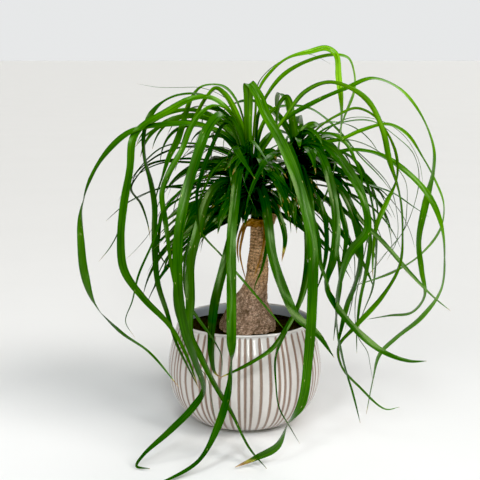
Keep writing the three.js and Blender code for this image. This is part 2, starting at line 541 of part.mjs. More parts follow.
function addShortLeaves({ head: name, seed, count, around, rise, length, width }) {
  const head = HEADS[name];
  const other = HEADS[name === "left" ? "right" : "left"];
  const random = randomFrom(seed);
  const stems = [straight(other.base, other.tip, STEM_STEPS), alongRows(name === "left" ? BRANCH : TRUNK)];
  for (let k = 0; k < count; k++) {
    const up = (k + 0.5) / count;
    const turn = (k * GOLDEN_SHARE + TURN_SPREAD * random()) % 1;
    const heading = radians(mix(...around, turn));
    const pitch = radians(mix(...rise, up) + RISE_SPREAD * (random() - 0.5));
    const fall = radians(mix(...FALL, random()));
    const long = mix(...length, random());
    const sway = SWAY * (random() - 0.5);
    const leaf = { head: name, width: mix(...width, random()) };
    const rolls = ROLLS.map((spread) => spread * (random() - 0.5));
    const foot = LEAF_BASE / (head.tip[2] - head.base[2]);
    const root = mixPoint(head.base, head.tip, mix(foot, 1, up));
    const others = leaves.filter((one) => one.head !== name).concat(deadLeaves);
    others.push(...stems.map((points) => ({ points, width: STEM_CLEAR })));
    const barred = (p, i) => i >= IN_BOUNDS_STEPS && (outOfBounds(p, head) || hides(p, leaf.width));
    for (let i = 0; i < TRIES; i++) {
      const way = heading + i * TRY_TURN;
      leaf.roll = rolls.map((roll, n) => roll + SIDE_ROLLS[n] * Math.cos(way));
      leaf.points = arching(root, way, pitch, fall, long, sway);
      const out = leaf.points.findIndex(barred);
      const share = Math.max(LEAST_SHARE, out / FINE_STEPS);
      if (out > 0) leaf.points = arching(root, way, pitch, fall, long * share, sway);
      if (!leaf.points.some(barred) && !tooClose(leaf.points, leaf.width, others)) {
        leaves.push(leaf);
        break;
      }
    }
  }
}
SHORT_LEAVES.forEach(addShortLeaves);

// The way along, across and up at each point: the blade turns about its route only as its roll says.
function frames(points, roll) {
  const p = points.map(vector);
  const far = p.reduce((best, q) => (level(q, p[0]) > level(best, p[0]) ? q : best), p[0]);
  const across = new THREE.Vector3(p[0].y - far.y, far.x - p[0].x, 0).normalize();
  return p.map((here, i) => {
    const along = p[Math.min(i + 1, p.length - 1)].clone().sub(p[Math.max(i - 1, 0)]).normalize();
    across.addScaledVector(along, -across.dot(along)).normalize();
    const angle = radians(rollAt(roll, i / (p.length - 1)));
    const wide = across.clone().applyAxisAngle(along, angle);
    return { here, wide, up: along.clone().cross(wide) };
  });
}
const level = (a, b) => Math.hypot(a.x - b.x, a.y - b.y);

function rollAt(roll, share) {
  const place = share * (roll.length - 1);
  const i = Math.min(Math.floor(place), Math.max(roll.length - 2, 0));
  return roll.length < 2 ? roll[0] : mix(roll[i], roll[i + 1], place - i);
}

// A narrow neck, a long strap and a thread-like tip.
function widthAt(share, width, taper = TAPER_SHARE) {
  const neck = mix(NECK, 1, Math.min(share / NECK_SHARE, 1));
  return width * neck * Math.max(TIP, Math.min((1 - share) / taper, 1) ** TAPER_BEND);
}

// Which points of its route carry a section of the blade.
function sections({ points, long }) {
  const last = points.length - 1;
  if (!long) {
    const count = SECTIONS[distance(points[0], points[1]) * last > SHORT_BLADE ? 0 : 1];
    return Array.from({ length: count + 1 }, (_, i) => Math.round((i * last) / count));
  }
  const kept = [0];
  for (let i = CURVE_STEPS; i < last; i += CURVE_STEPS) {
    const apart = distance(points[kept.at(-1)], points[i]);
    if (apart > LONG_SPAN) kept.push(i - CURVE_STEPS / 2);
    if (apart > LEAST_SPAN) kept.push(i);
  }
  return [...kept, last];
}

// Where a blade twists, its walls are cut so that they stand apart and never pass through each other.
function blade(leaf) {
  const { points, roll, width, taper } = leaf;
  const all = frames(points, roll);
  const kept = sections(leaf);
  const lengths = [0];
  points.slice(1).forEach((p, i) => lengths.push(lengths[i] + distance(points[i], p)));
  const rings = kept.slice(0, -1).map((i) => {
    const { here, wide, up } = all[i];
    const half = widthAt(lengths[i] / lengths.at(-1), width, taper) / 2;
    return [
      here.clone().addScaledVector(wide, half).toArray(),
      here.clone().addScaledVector(wide, -half).toArray(),
      here.clone().addScaledVector(up, -BLADE_THICKNESS).toArray(),
    ];
  });
  const flipped = kept.slice(1, -1).map((i, n) => all[i].wide.dot(all[kept[n]].up) > 0);
  return skin([...rings, [points.at(-1)]], flipped);
}

// The blades joined to what they grow from, without the loose scraps that joining can leave.
function fused(stem, grown) {
  const bodies = grown.reduce((body, leaf) => body.add(blade(leaf)), stem).decompose();
  return bodies.reduce((best, body) => (body.volume() > best.volume() ? body : best));
}

function head(name) {
  const { base, tip, radius } = HEADS[name];
  const stem = skin(roundRings([[...base, radius], [...tip, radius * HEAD_TAPER]], HEAD_SIDES));
  return fused(stem, leaves.filter((leaf) => leaf.head === name));
}

// Brown leaves: the old ones under the left head, held by what is left of their bases
function deadHead() {
  const middle = mixPoint(COLLAR.base, COLLAR.tip, 0.5);
  const inner = HEADS.left.radius;
  const rows = [[...COLLAR.base, inner], [...middle, COLLAR_RADIUS], [...COLLAR.tip, inner]];
  return fused(skin(roundRings(rows, HEAD_SIDES)), deadLeaves);
}

function mesh(name, solid) {
  const [color, roughness] = FINISHES[name];
  const { numProp, vertProperties, triVerts } = solid.getMesh();
  const geometry = new THREE.BufferGeometry();
  const corners = new Float32Array((vertProperties.length / numProp) * 3);
  for (let i = 0; i < corners.length / 3; i++)
    corners.set(vertProperties.subarray(i * numProp, i * numProp + 3), i * 3);
  geometry.setAttribute("position", new THREE.BufferAttribute(corners, 3));
  geometry.setIndex(new THREE.BufferAttribute(triVerts, 1));
  geometry.computeVertexNormals();
  const made = new THREE.Mesh(geometry, new THREE.MeshStandardMaterial({ color, roughness, metalness: 0 }));
  made.name = name;
  return made;
}

const holder = new THREE.Group();
holder.add(mesh("pot", pot()), mesh("soil", soil()));
const plant = new THREE.Group();
plant.add(
  mesh("trunk", trunk()),
  mesh("left_head", head("left")),
  mesh("right_head", head("right")),
  mesh("dead_leaves", deadHead()),
);
const palm = new THREE.Group();
palm.add(holder, plant);
export default palm;
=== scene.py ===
"""Looks of the potted ponytail palm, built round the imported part.

Lengths are in the part's millimetres and turn into metres where a mesh is made. The plant is seen
from -Y, so its left is -X.
"""

import math
from dataclasses import dataclass

import bmesh
import bpy
import numpy as np
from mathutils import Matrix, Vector, noise


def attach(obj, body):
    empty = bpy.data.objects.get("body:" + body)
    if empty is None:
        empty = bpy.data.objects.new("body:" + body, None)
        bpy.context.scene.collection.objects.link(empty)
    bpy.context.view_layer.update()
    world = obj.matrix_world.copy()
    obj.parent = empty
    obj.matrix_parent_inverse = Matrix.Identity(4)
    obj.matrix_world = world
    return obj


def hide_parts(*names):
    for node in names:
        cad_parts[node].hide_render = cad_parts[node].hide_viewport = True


MM = 0.001

# Camera: the photo's own, worked out with the ellipse of the pot's rim
CAMERA_PLACE = (-7.7, -1600, 586)
CAMERA_TILT = 10.4  # degrees below level
FOCAL_PIXELS = 1031
FRAME_PIXELS = 480
SENSOR = 36  # mm

FAR_FLOOR = (0.8, 0.81, 0.815)  # colour where the floor ends in the distance
BLACK_LEVEL = (0.006, 0.004, 0.009)  # the photo's deep blacks

# Pot, as in the part
POT_HEIGHT = 166
POT_PROFILE = (  # radius and height up the outside, from the foot to the rim
    (60, 0), (80, 6), (102, 25), (115.5, 48), (121.5, 73), (122.5, 95), (117.5, 126), (109.5, 153),
    (105.5, 166),
)
POT_INSIDE = (  # the same up the smooth inside
    (66, 9), (84, 16), (98, 30), (110, 53), (116, 80), (116, 102), (111, 128), (100.5, 166),
)
PROFILE_STEPS = 12  # from each of the profile's points to the next
INSIDE_STEPS = 6
POT_ROWS = 44
RIBS_FROM = -90  # degrees round the pot: the front
RIB_REPEATS = 12
RIB_WIDTHS = (4.44, 7.04, 7.04, 7.04, 4.44)  # degrees
RIB_DEPTH = 1.8
GROOVE_HALF = 1.5  # degrees from the middle of a groove to the shoulder of the rib
RIB_SAMPLES = (0.5, 0.9, 1.2, GROOVE_HALF)  # degrees from the groove
CREST_SHARE = 0.34  # of a rib's depth that is in its rounded crest
RIB_FADE = (0.5, 4.5)  # heights below the lip between which the grooves come up to full depth
FOOT_FADE = (1, 7)
LIP_HEIGHT = 163.2
LIP_PROUD = 0.5
LIP_STEPS = 8

# Soil: its smooth form is the part's, and lumps and crumbs are added to it
SOIL_HEIGHT = 148
SOIL_CROWN = 2.5
SOIL_BUMP = 1.2
SOIL_SIDES = 144
SOIL_ROWS = 34
SOIL_GAP = 0.4
CLOD_SIZE = 9
CLOD_HEIGHT = 1.6
GRAIN_SIZE = 2.6
GRAIN_HEIGHT = 0.9
CLODS_RISE = 4  # lumps come up to full height over one part in so many of the way in from the wall
CRUMBS = 190
CRUMB_SEED = 5
CRUMBS_FROM = 50  # least distance from the pot's middle
CRUMBS_MARGIN = 4  # kept clear at the wall
CRUMB_SIZES = (0.9, 2.9)
CRUMB_STRETCH = 2.2
CRUMB_FLATNESS = 0.7
CRUMB_LUMPS = 0.35
CRUMB_LIFT = 0.4

# Trunk and branch, as in the part: x, y, height and radius
TRUNK = (
    (3, 0, 124, 43), (3, 0, 140, 47), (4, 0, 152, 45.5), (5, 0, 164, 42), (5, 0, 180, 34.5),
    (7, 0, 192, 29), (10, 0, 203, 25.3), (15, 0, 216, 20.5), (19, 0, 231, 18), (20.5, 0, 257, 16.6),
    (20.5, 0, 276, 13.6), (19.5, 0, 292, 11.4), (18.5, 0, 305, 10), (18, 0, 318, 9.3),
)
BRANCH = (
    (20, 1, 272, 8), (27, 4, 290, 8), (36, 8, 310, 8), (44, 10, 330, 7.5), (50, 13, 345, 7.5),
    (56, 15, 362, 7.5),
)
TRUNK_STEPS = 15  # from each row to the next
TRUNK_SIDES = 120
BRANCH_SIDES = 44
TRUNK_LUMPS = 0.07
LUMPS_TOP = 240
LUMPS_FADE = 80

# Bark: cork on the foot, rings on the stem and knots where they meet, with painted shade where the bark is
# sunk
STEM_FROM = (196, 250)  # heights between which the rings take over from the cork
CORK_CELL = 5.5  # size of the cork's plates
CORK_SQUEEZE = 0.55  # of heights, which makes the plates taller than wide
CORK_CRACK = (0.03, 0.26)  # of a plate's size, from its edge to where it is whole
CORK_SWELL = 1.5
CRACK_DEPTH = 1.1
SCAR_STEP = 4.7  # between the fine rings that fallen leaves left on the stem
SCAR_HALF = 0.2  # of that step
SCAR_WANDER = 4  # how far a ring strays up and down
SCAR_BREAKS = (-0.35, 0.1)  # values of the noise between which a ring fades in
KNOTS_AT = 249
KNOTS_SPREAD = 24
KNOT_DEPTH = 0.8


@dataclass
class Head:
    """A leafy stem: its foot and tip, its radius, where long leaves may root and how far short ones reach."""

    base: tuple
    tip: tuple
    radius: float
    roots: tuple
    reach: float = 0

    def at(self, share):
        """The stem's middle at a share of its height."""
        return mix(np.array(self.base, float), np.array(self.tip, float), share)


HEADS = {
    "left": Head((18, 0, 328), (9, 0, 414), 9, (0.06, 0.95), 190),
    "right": Head((56, 15, 362.3), (82, 25, 450), 8, (0.06, 0.95), 215),
    "collar": Head((18, 0, 318.3), (18, 0, 327.7), 11.5, (0.5, 0.5)),
}
HEAD_TAPER = 0.55
CORE_ROWS = 12
CORE_SIDES = 24
CORE_TONE = 0.2
LEAF_BASE = 9  # the lowest short leaf's height above the foot of its head
ROOT_DROP = 6  # a followed leaf's root is this far below its first point

# Long leaves, as in the part: head, width, how much brighter the leaf is than others of its place, roll in
# degrees at each point of its route, of which the last one holds to the tip, route and, where it isn't the
# usual one, the share of the length over which the leaf narrows to its tip
LONG_LEAVES = (
    ("left", 15, -0.02, (0, 0, 10, 40, 50, 50, 50, 50, 50, 50, 40, 30, -20, 15, 30), (
        (10, -5, 400), (5, -15, 465), (5, -25, 515), (5, -35, 540), (20, -50, 520), (30, -70, 495),
        (55, -100, 450), (80, -135, 385), (95, -160, 315), (95, -175, 240), (90, -185, 160), (80, -195, 90),
        (60, -200, 60), (45, -205, 30), (15, -210, 15), (-15, -220, 5)), 0.07),
    ("left", 15, 0.02, (0, 0, 10, -20, -10, -10, -10, -10, -10, 0, 20, 40, 15, 15, 10, 0), (
        (5, -5, 405), (-5, -25, 450), (-20, -50, 485), (-35, -75, 495), (-55, -105, 475), (-70, -130, 435),
        (-85, -150, 385), (-95, -165, 325), (-95, -175, 250), (-85, -180, 190), (-70, -185, 145),
        (-60, -190, 110), (-75, -195, 85), (-110, -200, 50), (-145, -210, 20), (-155, -215, 5),
        (-135, -225, 5)), 0.2),
    ("left", 14, 0.1, (0, 0, 0, 0, 0, 0, 0, 0, 90, 40, 40, 50, 30), (
        (5, -5, 390), (0, -35, 415), (-10, -75, 410), (-15, -110, 370), (-20, -135, 325), (-20, -150, 275),
        (-20, -165, 220), (-20, -175, 180), (-20, -180, 150), (-25, -190, 105), (-40, -210, 60),
        (-65, -230, 20), (-105, -260, 5), (-130, -280, 5)), 0.25),
    ("left", 14, 0, (0, 0, 0, 0, 0, 0, -20, -40), (
        (15, -10, 370), (20, -35, 385), (30, -70, 365), (35, -95, 330), (40, -110, 290), (55, -125, 245),
        (75, -140, 205), (105, -145, 180), (130, -150, 145)), 0.15),
    ("left", 15, -0.15, (30, 50, 80, 100, 100, 100, 100, 80, 70, 70, 60, 70), (
        (-5, -10, 375), (-25, -35, 390), (-45, -65, 385), (-60, -90, 360), (-70, -110, 325),
        (-80, -125, 280), (-80, -140, 230), (-80, -150, 180), (-65, -160, 150), (-45, -165, 110),
        (-20, -175, 70), (5, -195, 25), (30, -225, 5)), 0.25),
    ("left", 14, -0.1, (0, 0, -20, -20, -20, -20, 0, 10), (
        (0, -10, 375), (-5, -40, 360), (-15, -75, 330), (-25, -95, 295), (-35, -110, 260), (-45, -120, 220),
        (-50, -125, 180), (-50, -135, 145), (-45, -140, 120), (-35, -140, 110)), 0.15),
    ("right", 8, 0.05, (0, 20, 10, 10, 10, 10, 10, 10, 20), (
        (85, 20, 410), (95, -30, 390), (100, -70, 360), (100, -90, 310), (95, -105, 270), (85, -115, 230),
        (65, -125, 190), (40, -135, 155), (15, -145, 140), (-15, -150, 125), (-40, -155, 115)), 0.12),
    ("left", 5, 0, (0, 0, 30, 40, 40, 40, 40, 50, 70), (
        (0, -10, 405), (-25, -25, 425), (-45, -45, 410), (-60, -60, 385), (-70, -75, 355), (-65, -85, 320),
        (-35, -90, 285), (5, -100, 240), (35, -105, 205), (60, -110, 175)), 0.2),
    ("right", 6, 0, (0, 0, 0, 0, 0, 0, -30, -30, -20), (
        (75, 5, 405), (85, -40, 375), (90, -75, 330), (90, -100, 275), (80, -110, 220), (60, -130, 180),
        (45, -140, 145), (45, -150, 105), (50, -155, 70), (65, -165, 45), (80, -170, 20))),
    ("left", 13, 0.05, (-35, -35, -35, -35, -35, -35, -20, 20, 70, 90, 170, 215, 225, 240), (
        (-5, 0, 435), (-30, -5, 460), (-75, -10, 475), (-130, -20, 475), (-175, -30, 465), (-210, -35, 435),
        (-235, -45, 395), (-250, -50, 345), (-250, -55, 295), (-245, -60, 250), (-230, -65, 205),
        (-190, -80, 165), (-145, -90, 135), (-100, -105, 85))),
    ("left", 13, 0, (-40, -40, -40, -40, -45, -45, -50, -50, -55, -60, -70, -60), (
        (0, 0, 440), (-20, -5, 490), (-50, -10, 515), (-80, -15, 515), (-120, -20, 495), (-155, -25, 475),
        (-170, -35, 455), (-175, -40, 410), (-185, -45, 355), (-190, -50, 300), (-185, -55, 255),
        (-155, -70, 215), (-115, -80, 175), (-90, -95, 135), (-70, -110, 85))),
    ("left", 10, -0.1, (-10, -10, -10, -10, -20, -60, -30, -30, -40, -60, -60, -70, -70, -60), (
        (0, 10, 450), (-30, 10, 500), (-65, 5, 520), (-100, 0, 520), (-125, 0, 510), (-145, -5, 490),
        (-155, -10, 465), (-155, -15, 425), (-145, -20, 385), (-140, -20, 350), (-140, -30, 305),
        (-135, -45, 235), (-120, -60, 190), (-105, -75, 145), (-85, -95, 110), (-70, -110, 85))),
    ("left", 11, 0, (-10, -10, -20, -20, -30, -40, -60, -90, -60, -40), (
        (5, 10, 450), (-10, 15, 505), (-30, 15, 530), (-50, 20, 535), (-70, 20, 530), (-85, 20, 510),
        (-95, 15, 480), (-105, 15, 450), (-120, 15, 420), (-130, 10, 390), (-140, 10, 360), (-145, 5, 330))),
    ("left", 11, 0.1, (50, 50, 60, 60, 40, 30), (
        (5, 0, 415), (0, -5, 455), (-15, -5, 495), (-30, -5, 520), (-45, -5, 530), (-60, -5, 515),
        (-75, 0, 490), (-90, 5, 465), (-100, 10, 435), (-110, 15, 400))),
    ("left", 9, -0.1, (0,), (
        (5, -5, 405), (-5, -20, 450), (-20, -35, 480), (-35, -55, 475), (-50, -75, 445), (-60, -90, 420),
        (-70, -105, 385), (-70, -115, 355), (-65, -120, 320))),
    ("left", 9, 0.1, (-20, -20, -20, -30, -40, -50), (
        (0, -5, 435), (-15, -15, 490), (-45, -25, 505), (-65, -35, 495), (-80, -40, 475), (-95, -50, 440),
        (-115, -55, 405), (-125, -65, 375), (-120, -70, 335), (-115, -80, 300), (-110, -85, 260),
        (-100, -95, 210))),
    ("left", 8, 0, (-20,), (
        (-5, 10, 380), (-55, 20, 380), (-105, 30, 375), (-150, 40, 365), (-190, 40, 345), (-225, 45, 315))),
    ("left", 6, 0, (-20, -20, -20, -20, -20, -50), (
        (-5, 20, 415), (-70, 35, 440), (-130, 50, 435), (-170, 55, 400), (-195, 60, 360), (-205, 60, 300),
        (-220, 60, 270), (-240, 60, 245))),
    ("left", 5, -0.05, (-10,), (
        (-5, 15, 375), (-80, 30, 375), (-130, 40, 340), (-155, 45, 295), (-175, 50, 270), (-195, 50, 250))),
    ("left", 5, 0, (-20,), (
        (-5, -10, 390), (-70, -50, 395), (-115, -70, 360), (-140, -80, 300), (-160, -85, 255),
        (-170, -90, 215), (-180, -95, 185), (-165, -100, 160))),
    ("left", 8, -0.15, (-10, -10, -20, -20, -20, -50, -60), (
        (-5, 25, 395), (-65, 40, 415), (-110, 50, 415), (-155, 60, 405), (-175, 65, 385), (-185, 65, 365),
        (-170, 70, 340), (-160, 70, 310), (-155, 70, 280))),
    ("left", 7, -0.15, (-10, -10, -20, -20, -30), (
        (-5, 30, 415), (-65, 50, 435), (-115, 65, 430), (-155, 75, 410), (-180, 80, 385), (-190, 85, 350))),
    ("left", 11, 0.12, (10, 10, 10, 20, 20, 40, 50, 60, 70, 40, 20, 20, 40), (
        (10, 0, 420), (15, 0, 485), (20, 0, 525), (40, 5, 555), (65, 5, 575), (100, 10, 585), (125, 10, 590),
        (140, 10, 580), (145, 15, 545), (150, 15, 505), (150, 15, 465), (145, 20, 425), (135, 20, 380),
        (115, 15, 330)), 0.2),
    ("left", 9, 0.1, (20, 20, 20, 30, 30, 20, 20, 20, 20, 30), (
        (15, 5, 420), (20, 10, 485), (35, 10, 520), (60, 15, 550), (95, 15, 570), (135, 20, 580),
        (160, 20, 575), (170, 20, 550), (170, 20, 525), (155, 15, 485), (145, 15, 455)), 0.15),
    ("left", 12, 0.05, (20, 30, 30, 30, 30, 20, 20, 20, 20, 30, 70, 50, 40, 30, 20, 30), (
        (15, 0, 405), (30, 5, 440), (60, 0, 480), (110, 0, 510), (155, -5, 530), (195, -5, 545),
        (235, -10, 530), (270, -10, 490), (290, -15, 440), (290, -20, 405), (280, -20, 355), (270, -25, 295),
        (275, -30, 250), (280, -35, 210), (260, -40, 185), (225, -40, 180), (190, -45, 175)), 0.12),
    ("left", 11, 0.05, (0, 0, 0, 0, -10, -10, -30, -30, -30, 10, 0, 0, -20, -20, -10, -10, -30, -40), (
        (10, -10, 405), (30, -15, 440), (60, -20, 485), (90, -30, 525), (125, -40, 540), (160, -45, 530),
        (185, -55, 510), (205, -60, 470), (215, -70, 425), (230, -80, 375), (235, -85, 320), (230, -95, 270),
        (205, -100, 225), (165, -105, 180), (140, -110, 150), (145, -115, 120), (170, -135, 95),
        (205, -160, 70), (225, -165, 75)), 0.22),
    ("right", 9, 0.1, (20, 20, 30, 30, 30, 30, 20, 20, 20, 30), (
        (85, 20, 430), (110, 10, 445), (145, 0, 450), (180, 0, 465), (220, -5, 475), (250, -5, 460),
        (275, -5, 425), (295, -5, 390), (310, -10, 350), (305, -10, 310), (275, -10, 270), (235, -15, 245),
        (165, -20, 220)), 0.12),
    ("right", 11, 0.05, (30, 30, 30, 30, 40, 50, 30, 0, 20, 30, 30, 20, 10), (
        (85, 20, 415), (125, 10, 425), (165, 0, 435), (205, -10, 430), (240, -25, 410), (280, -35, 370),
        (300, -45, 325), (305, -55, 275), (300, -60, 225), (270, -70, 185), (230, -80, 155), (205, -85, 130),
        (195, -90, 90), (185, -100, 40)), 0.15),
    ("right", 8, 0, (30,), (
        (90, 5, 400), (125, -20, 390), (155, -40, 365), (175, -55, 335), (210, -65, 300), (250, -75, 255),
        (285, -85, 220), (310, -90, 200))),
    ("right", 14, 0, (50, 60, 60, 60, 30, 20, 30, -10, -20, -20, 0), (
        (80, 10, 435), (100, -10, 450), (130, -35, 440), (155, -60, 410), (175, -85, 370), (180, -100, 325),
        (155, -110, 295), (140, -115, 250), (135, -120, 195), (145, -130, 135), (160, -140, 85),
        (170, -150, 45))),
    ("right", 13, 0, (0, 20, 10, 10, 10, 10, -40, -20, -20, -20, 0), (
        (85, 10, 430), (105, -10, 445), (120, -50, 420), (130, -75, 380), (135, -95, 330), (130, -110, 285),
        (120, -115, 245), (135, -120, 215), (165, -130, 180), (205, -140, 150), (240, -150, 140),
        (265, -150, 140)), 0.2),
    ("right", 12, -0.05, (0,), (
        (75, 0, 420), (65, -25, 445), (75, -60, 420), (85, -90, 385), (95, -105, 350), (105, -115, 315),
        (110, -120, 280), (125, -130, 240))),
    ("left", 8, 0.05, (0, 0, 0, 0, 10), (
        (15, 20, 415), (25, 30, 465), (45, 40, 495), (70, 55, 500), (105, 65, 495), (135, 70, 475),
        (165, 80, 445), (190, 85, 415), (220, 85, 385), (245, 90, 355))),
    ("right", 8, 0, (20,), (
        (90, 20, 395), (125, 30, 385), (160, 40, 390), (200, 45, 375), (240, 50, 360), (270, 50, 340),
        (300, 55, 320))),
    ("right", 9, 0.1, (0, 0, -20, -20, -20, -30, -30, -30, -60), (
        (85, 15, 435), (115, 5, 470), (145, -5, 490), (170, -15, 500), (195, -20, 490), (215, -30, 465),
        (230, -35, 430), (230, -45, 395), (215, -50, 360), (200, -55, 325), (195, -60, 290),
        (195, -60, 245)), 0.2),
    ("right", 6, 0, (10,), (
        (85, 30, 425), (120, 40, 460), (160, 50, 475), (205, 60, 475), (245, 65, 450), (275, 70, 420),
        (285, 75, 380), (275, 75, 325), (255, 80, 280), (220, 80, 240))),
    ("right", 7, 0, (10,), (
        (90, 30, 420), (130, 45, 450), (170, 50, 435), (205, 60, 405), (235, 60, 370), (250, 65, 320),
        (250, 65, 280), (235, 70, 245))),
    ("right", 12, -0.05, (60, 70, 60, 30), (
        (80, 30, 430), (75, 30, 475), (70, 35, 505), (65, 35, 515), (55, 35, 505), (50, 35, 480),
        (45, 30, 450))),
    ("left", 11, -0.1, (0,), (
        (20, -5, 355), (35, -35, 365), (50, -60, 345), (60, -75, 310), (55, -85, 275))),
    ("right", 13, -0.15, (30, 30, 30, 30, 0, 0, 10, 40), (
        (90, 10, 400), (130, -20, 395), (155, -45, 365), (170, -60, 320), (175, -70, 275), (165, -80, 235),
        (155, -85, 210), (145, -90, 170), (140, -95, 145)), 0.25),
    ("right", 10, -0.1, (20,), (
        (90, 25, 410), (130, 0, 425), (165, -10, 395), (185, -20, 350), (195, -20, 295), (190, -25, 250),
        (180, -35, 205), (175, -40, 155), (175, -45, 120))),
    ("right", 10, -0.1, (20,), (
        (95, 35, 415), (145, 35, 430), (180, 30, 410), (200, 30, 360), (210, 25, 295), (210, 20, 255),
        (205, 15, 210), (190, 10, 170), (180, 5, 135))),
)

# Thinner leaves that only the looks have
EXTRA_LEAVES = (
    ("left", 9, 0, (0, 0, 0, -20, -20, -20, -10, -10, -10, 0, 10, 20), (
        (5, 0, 405), (-10, -20, 450), (-25, -45, 480), (-50, -70, 480), (-70, -100, 445), (-85, -120, 395),
        (-95, -140, 340), (-100, -150, 275), (-100, -160, 220), (-85, -165, 175), (-70, -180, 145),
        (-55, -185, 125), (-50, -190, 100), (-45, -195, 75), (-45, -200, 55)), 0.35),
    ("left", 7, 0, (0, 0, 20, 20, 20, 10, 0, 0, 10, 20), (
        (0, -5, 370), (-25, -35, 385), (-55, -70, 365), (-80, -100, 320), (-90, -115, 270), (-85, -125, 225),
        (-70, -130, 200), (-55, -135, 180), (-45, -135, 165), (-35, -140, 145), (-35, -145, 110))),
    ("left", 9, 0, (20, 20, 30, 30, 40), (
        (5, 0, 400), (-10, -10, 425), (-30, -25, 425), (-50, -40, 410), (-65, -55, 385), (-70, -65, 365))),
    ("left", 6, 0, (-30,), (
        (-10, 20, 405), (-45, 35, 410), (-90, 50, 410), (-125, 55, 410), (-155, 60, 400), (-185, 65, 380))),
    ("left", 6, 0, (-30,), (
        (-5, 15, 375), (-50, 30, 375), (-90, 40, 370), (-130, 50, 370), (-155, 60, 360), (-185, 60, 345))),
    ("left", 8, 0, (30,), (
        (0, 0, 360), (-35, -20, 360), (-70, -40, 355), (-95, -55, 335), (-120, -65, 310), (-145, -70, 285))),
    ("left", 8, 0, (30,), ((0, 0, 345), (-30, -15, 340), (-50, -25, 330), (-65, -35, 320), (-75, -40, 300))),
    ("left", 7, 0, (-20, -20, -20, -20, -40, -60), (
        (-10, 10, 360), (-45, 10, 370), (-85, 5, 365), (-115, 0, 350), (-130, 0, 335), (-135, -5, 300),
        (-135, -10, 275), (-120, -15, 250))),
    ("left", 3, 0, (0,), (
        (0, 0, 450), (-15, 10, 500), (-40, 15, 520), (-70, 20, 530), (-100, 25, 530), (-135, 30, 530),
        (-170, 40, 535))),
    ("left", 4, 0, (20,), (
        (-5, 30, 410), (-55, 50, 430), (-115, 70, 430), (-160, 80, 405), (-190, 90, 375), (-210, 95, 340))),
    ("left", 10, 0, (-40, -40, -30, -20), (
        (0, 20, 385), (-35, 30, 395), (-70, 40, 385), (-100, 45, 365), (-125, 50, 335), (-140, 50, 300))),
    ("right", 7, 0, (20,), (
        (85, 25, 430), (100, 20, 455), (125, 10, 460), (145, 0, 455), (160, -5, 440), (170, -10, 420),
        (180, -15, 395), (180, -20, 360))),
    ("right", 5, 0, (10,), (
        (90, 30, 415), (125, 40, 445), (175, 50, 445), (225, 60, 420), (260, 60, 380), (265, 65, 335),
        (260, 65, 295), (240, 60, 270), (210, 60, 230), (180, 55, 200))),
    ("right", 9, 0, (0, 10, 20, 30), (
        (90, 10, 405), (115, -10, 410), (135, -25, 385), (145, -35, 350), (155, -45, 310), (150, -50, 265),
        (145, -55, 225))),
    ("right", 9, 0, (10, 10, 20, 40), (
        (95, 25, 390), (130, 35, 385), (160, 40, 360), (180, 45, 315), (190, 45, 270), (190, 45, 225),
        (175, 45, 185))),
    ("right", 8, 0, (0, 0, 20, 30), (
        (85, 0, 385), (105, -20, 375), (120, -40, 345), (125, -50, 300), (120, -60, 260), (110, -60, 225))),
    ("left", 4, 0, (0,), (
        (15, 5, 435), (15, 10, 495), (20, 15, 535), (35, 20, 555), (55, 25, 570), (80, 30, 580),
        (105, 30, 580), (135, 35, 565))),
    ("right", 4, 0, (20,), (
        (95, 30, 415), (145, 30, 415), (180, 20, 375), (195, 10, 315), (185, 0, 245), (175, -10, 190),
        (180, -15, 140), (195, -20, 115), (200, -25, 90), (205, -30, 60))),
    ("left", 7, 0, (0, 0, 0, 10, 20), (
        (10, -15, 360), (25, -30, 355), (35, -45, 330), (35, -50, 305), (30, -55, 275), (25, -55, 255),
        (15, -55, 230), (15, -55, 220)), 0.5),
    ("right", 8, 0, (10, 10, 20, 30), (
        (95, 35, 395), (135, 50, 400), (180, 60, 380), (215, 65, 345), (235, 65, 305), (245, 65, 255))),
    ("right", 4, 0, (0,), (
        (95, 40, 420), (130, 55, 460), (170, 70, 480), (220, 80, 475), (260, 85, 450), (285, 85, 410),
        (295, 85, 360))),
    ("right", 8, 0, (0, 10, 20, 30, 30, 40), (
        (85, 10, 370), (110, 0, 355), (135, -10, 320), (145, -15, 275), (150, -20, 230), (145, -20, 180),
        (140, -25, 135))),
    ("right", 7, 0, (10,), (
        (95, 35, 375), (125, 40, 355), (155, 45, 320), (175, 45, 275), (180, 45, 225), (175, 45, 175),
        (165, 40, 135))),
)

# Brown leaves, as in the part but a little broader
DEAD_LEAVES = (
    ("collar", 7, 0, (20,), (
        (8, -8, 324), (0, -15, 319), (-5, -22, 300), (-8, -25, 278), (-5, -27, 257), (1, -28, 235))),
    ("collar", 6, 0, (-10,), (
        (26, -7, 324), (31, -15, 315), (29, -24, 290), (24, -27, 268), (18, -29, 250), (14, -30, 238))),
    ("collar", 6, 0, (0,), ((10, 7, 324), (0, 14, 318), (-8, 20, 300), (-12, 24, 275), (-10, 27, 250))),
    ("collar", 5, 0, (15,), ((20, 9, 324), (21, 18, 318), (18, 26, 300), (16, 32, 270), (18, 35, 246))),
    ("collar", 5, 0, (0,), ((27, -2, 324), (36, -10, 317), (44, -16, 298), (46, -20, 278))),
)

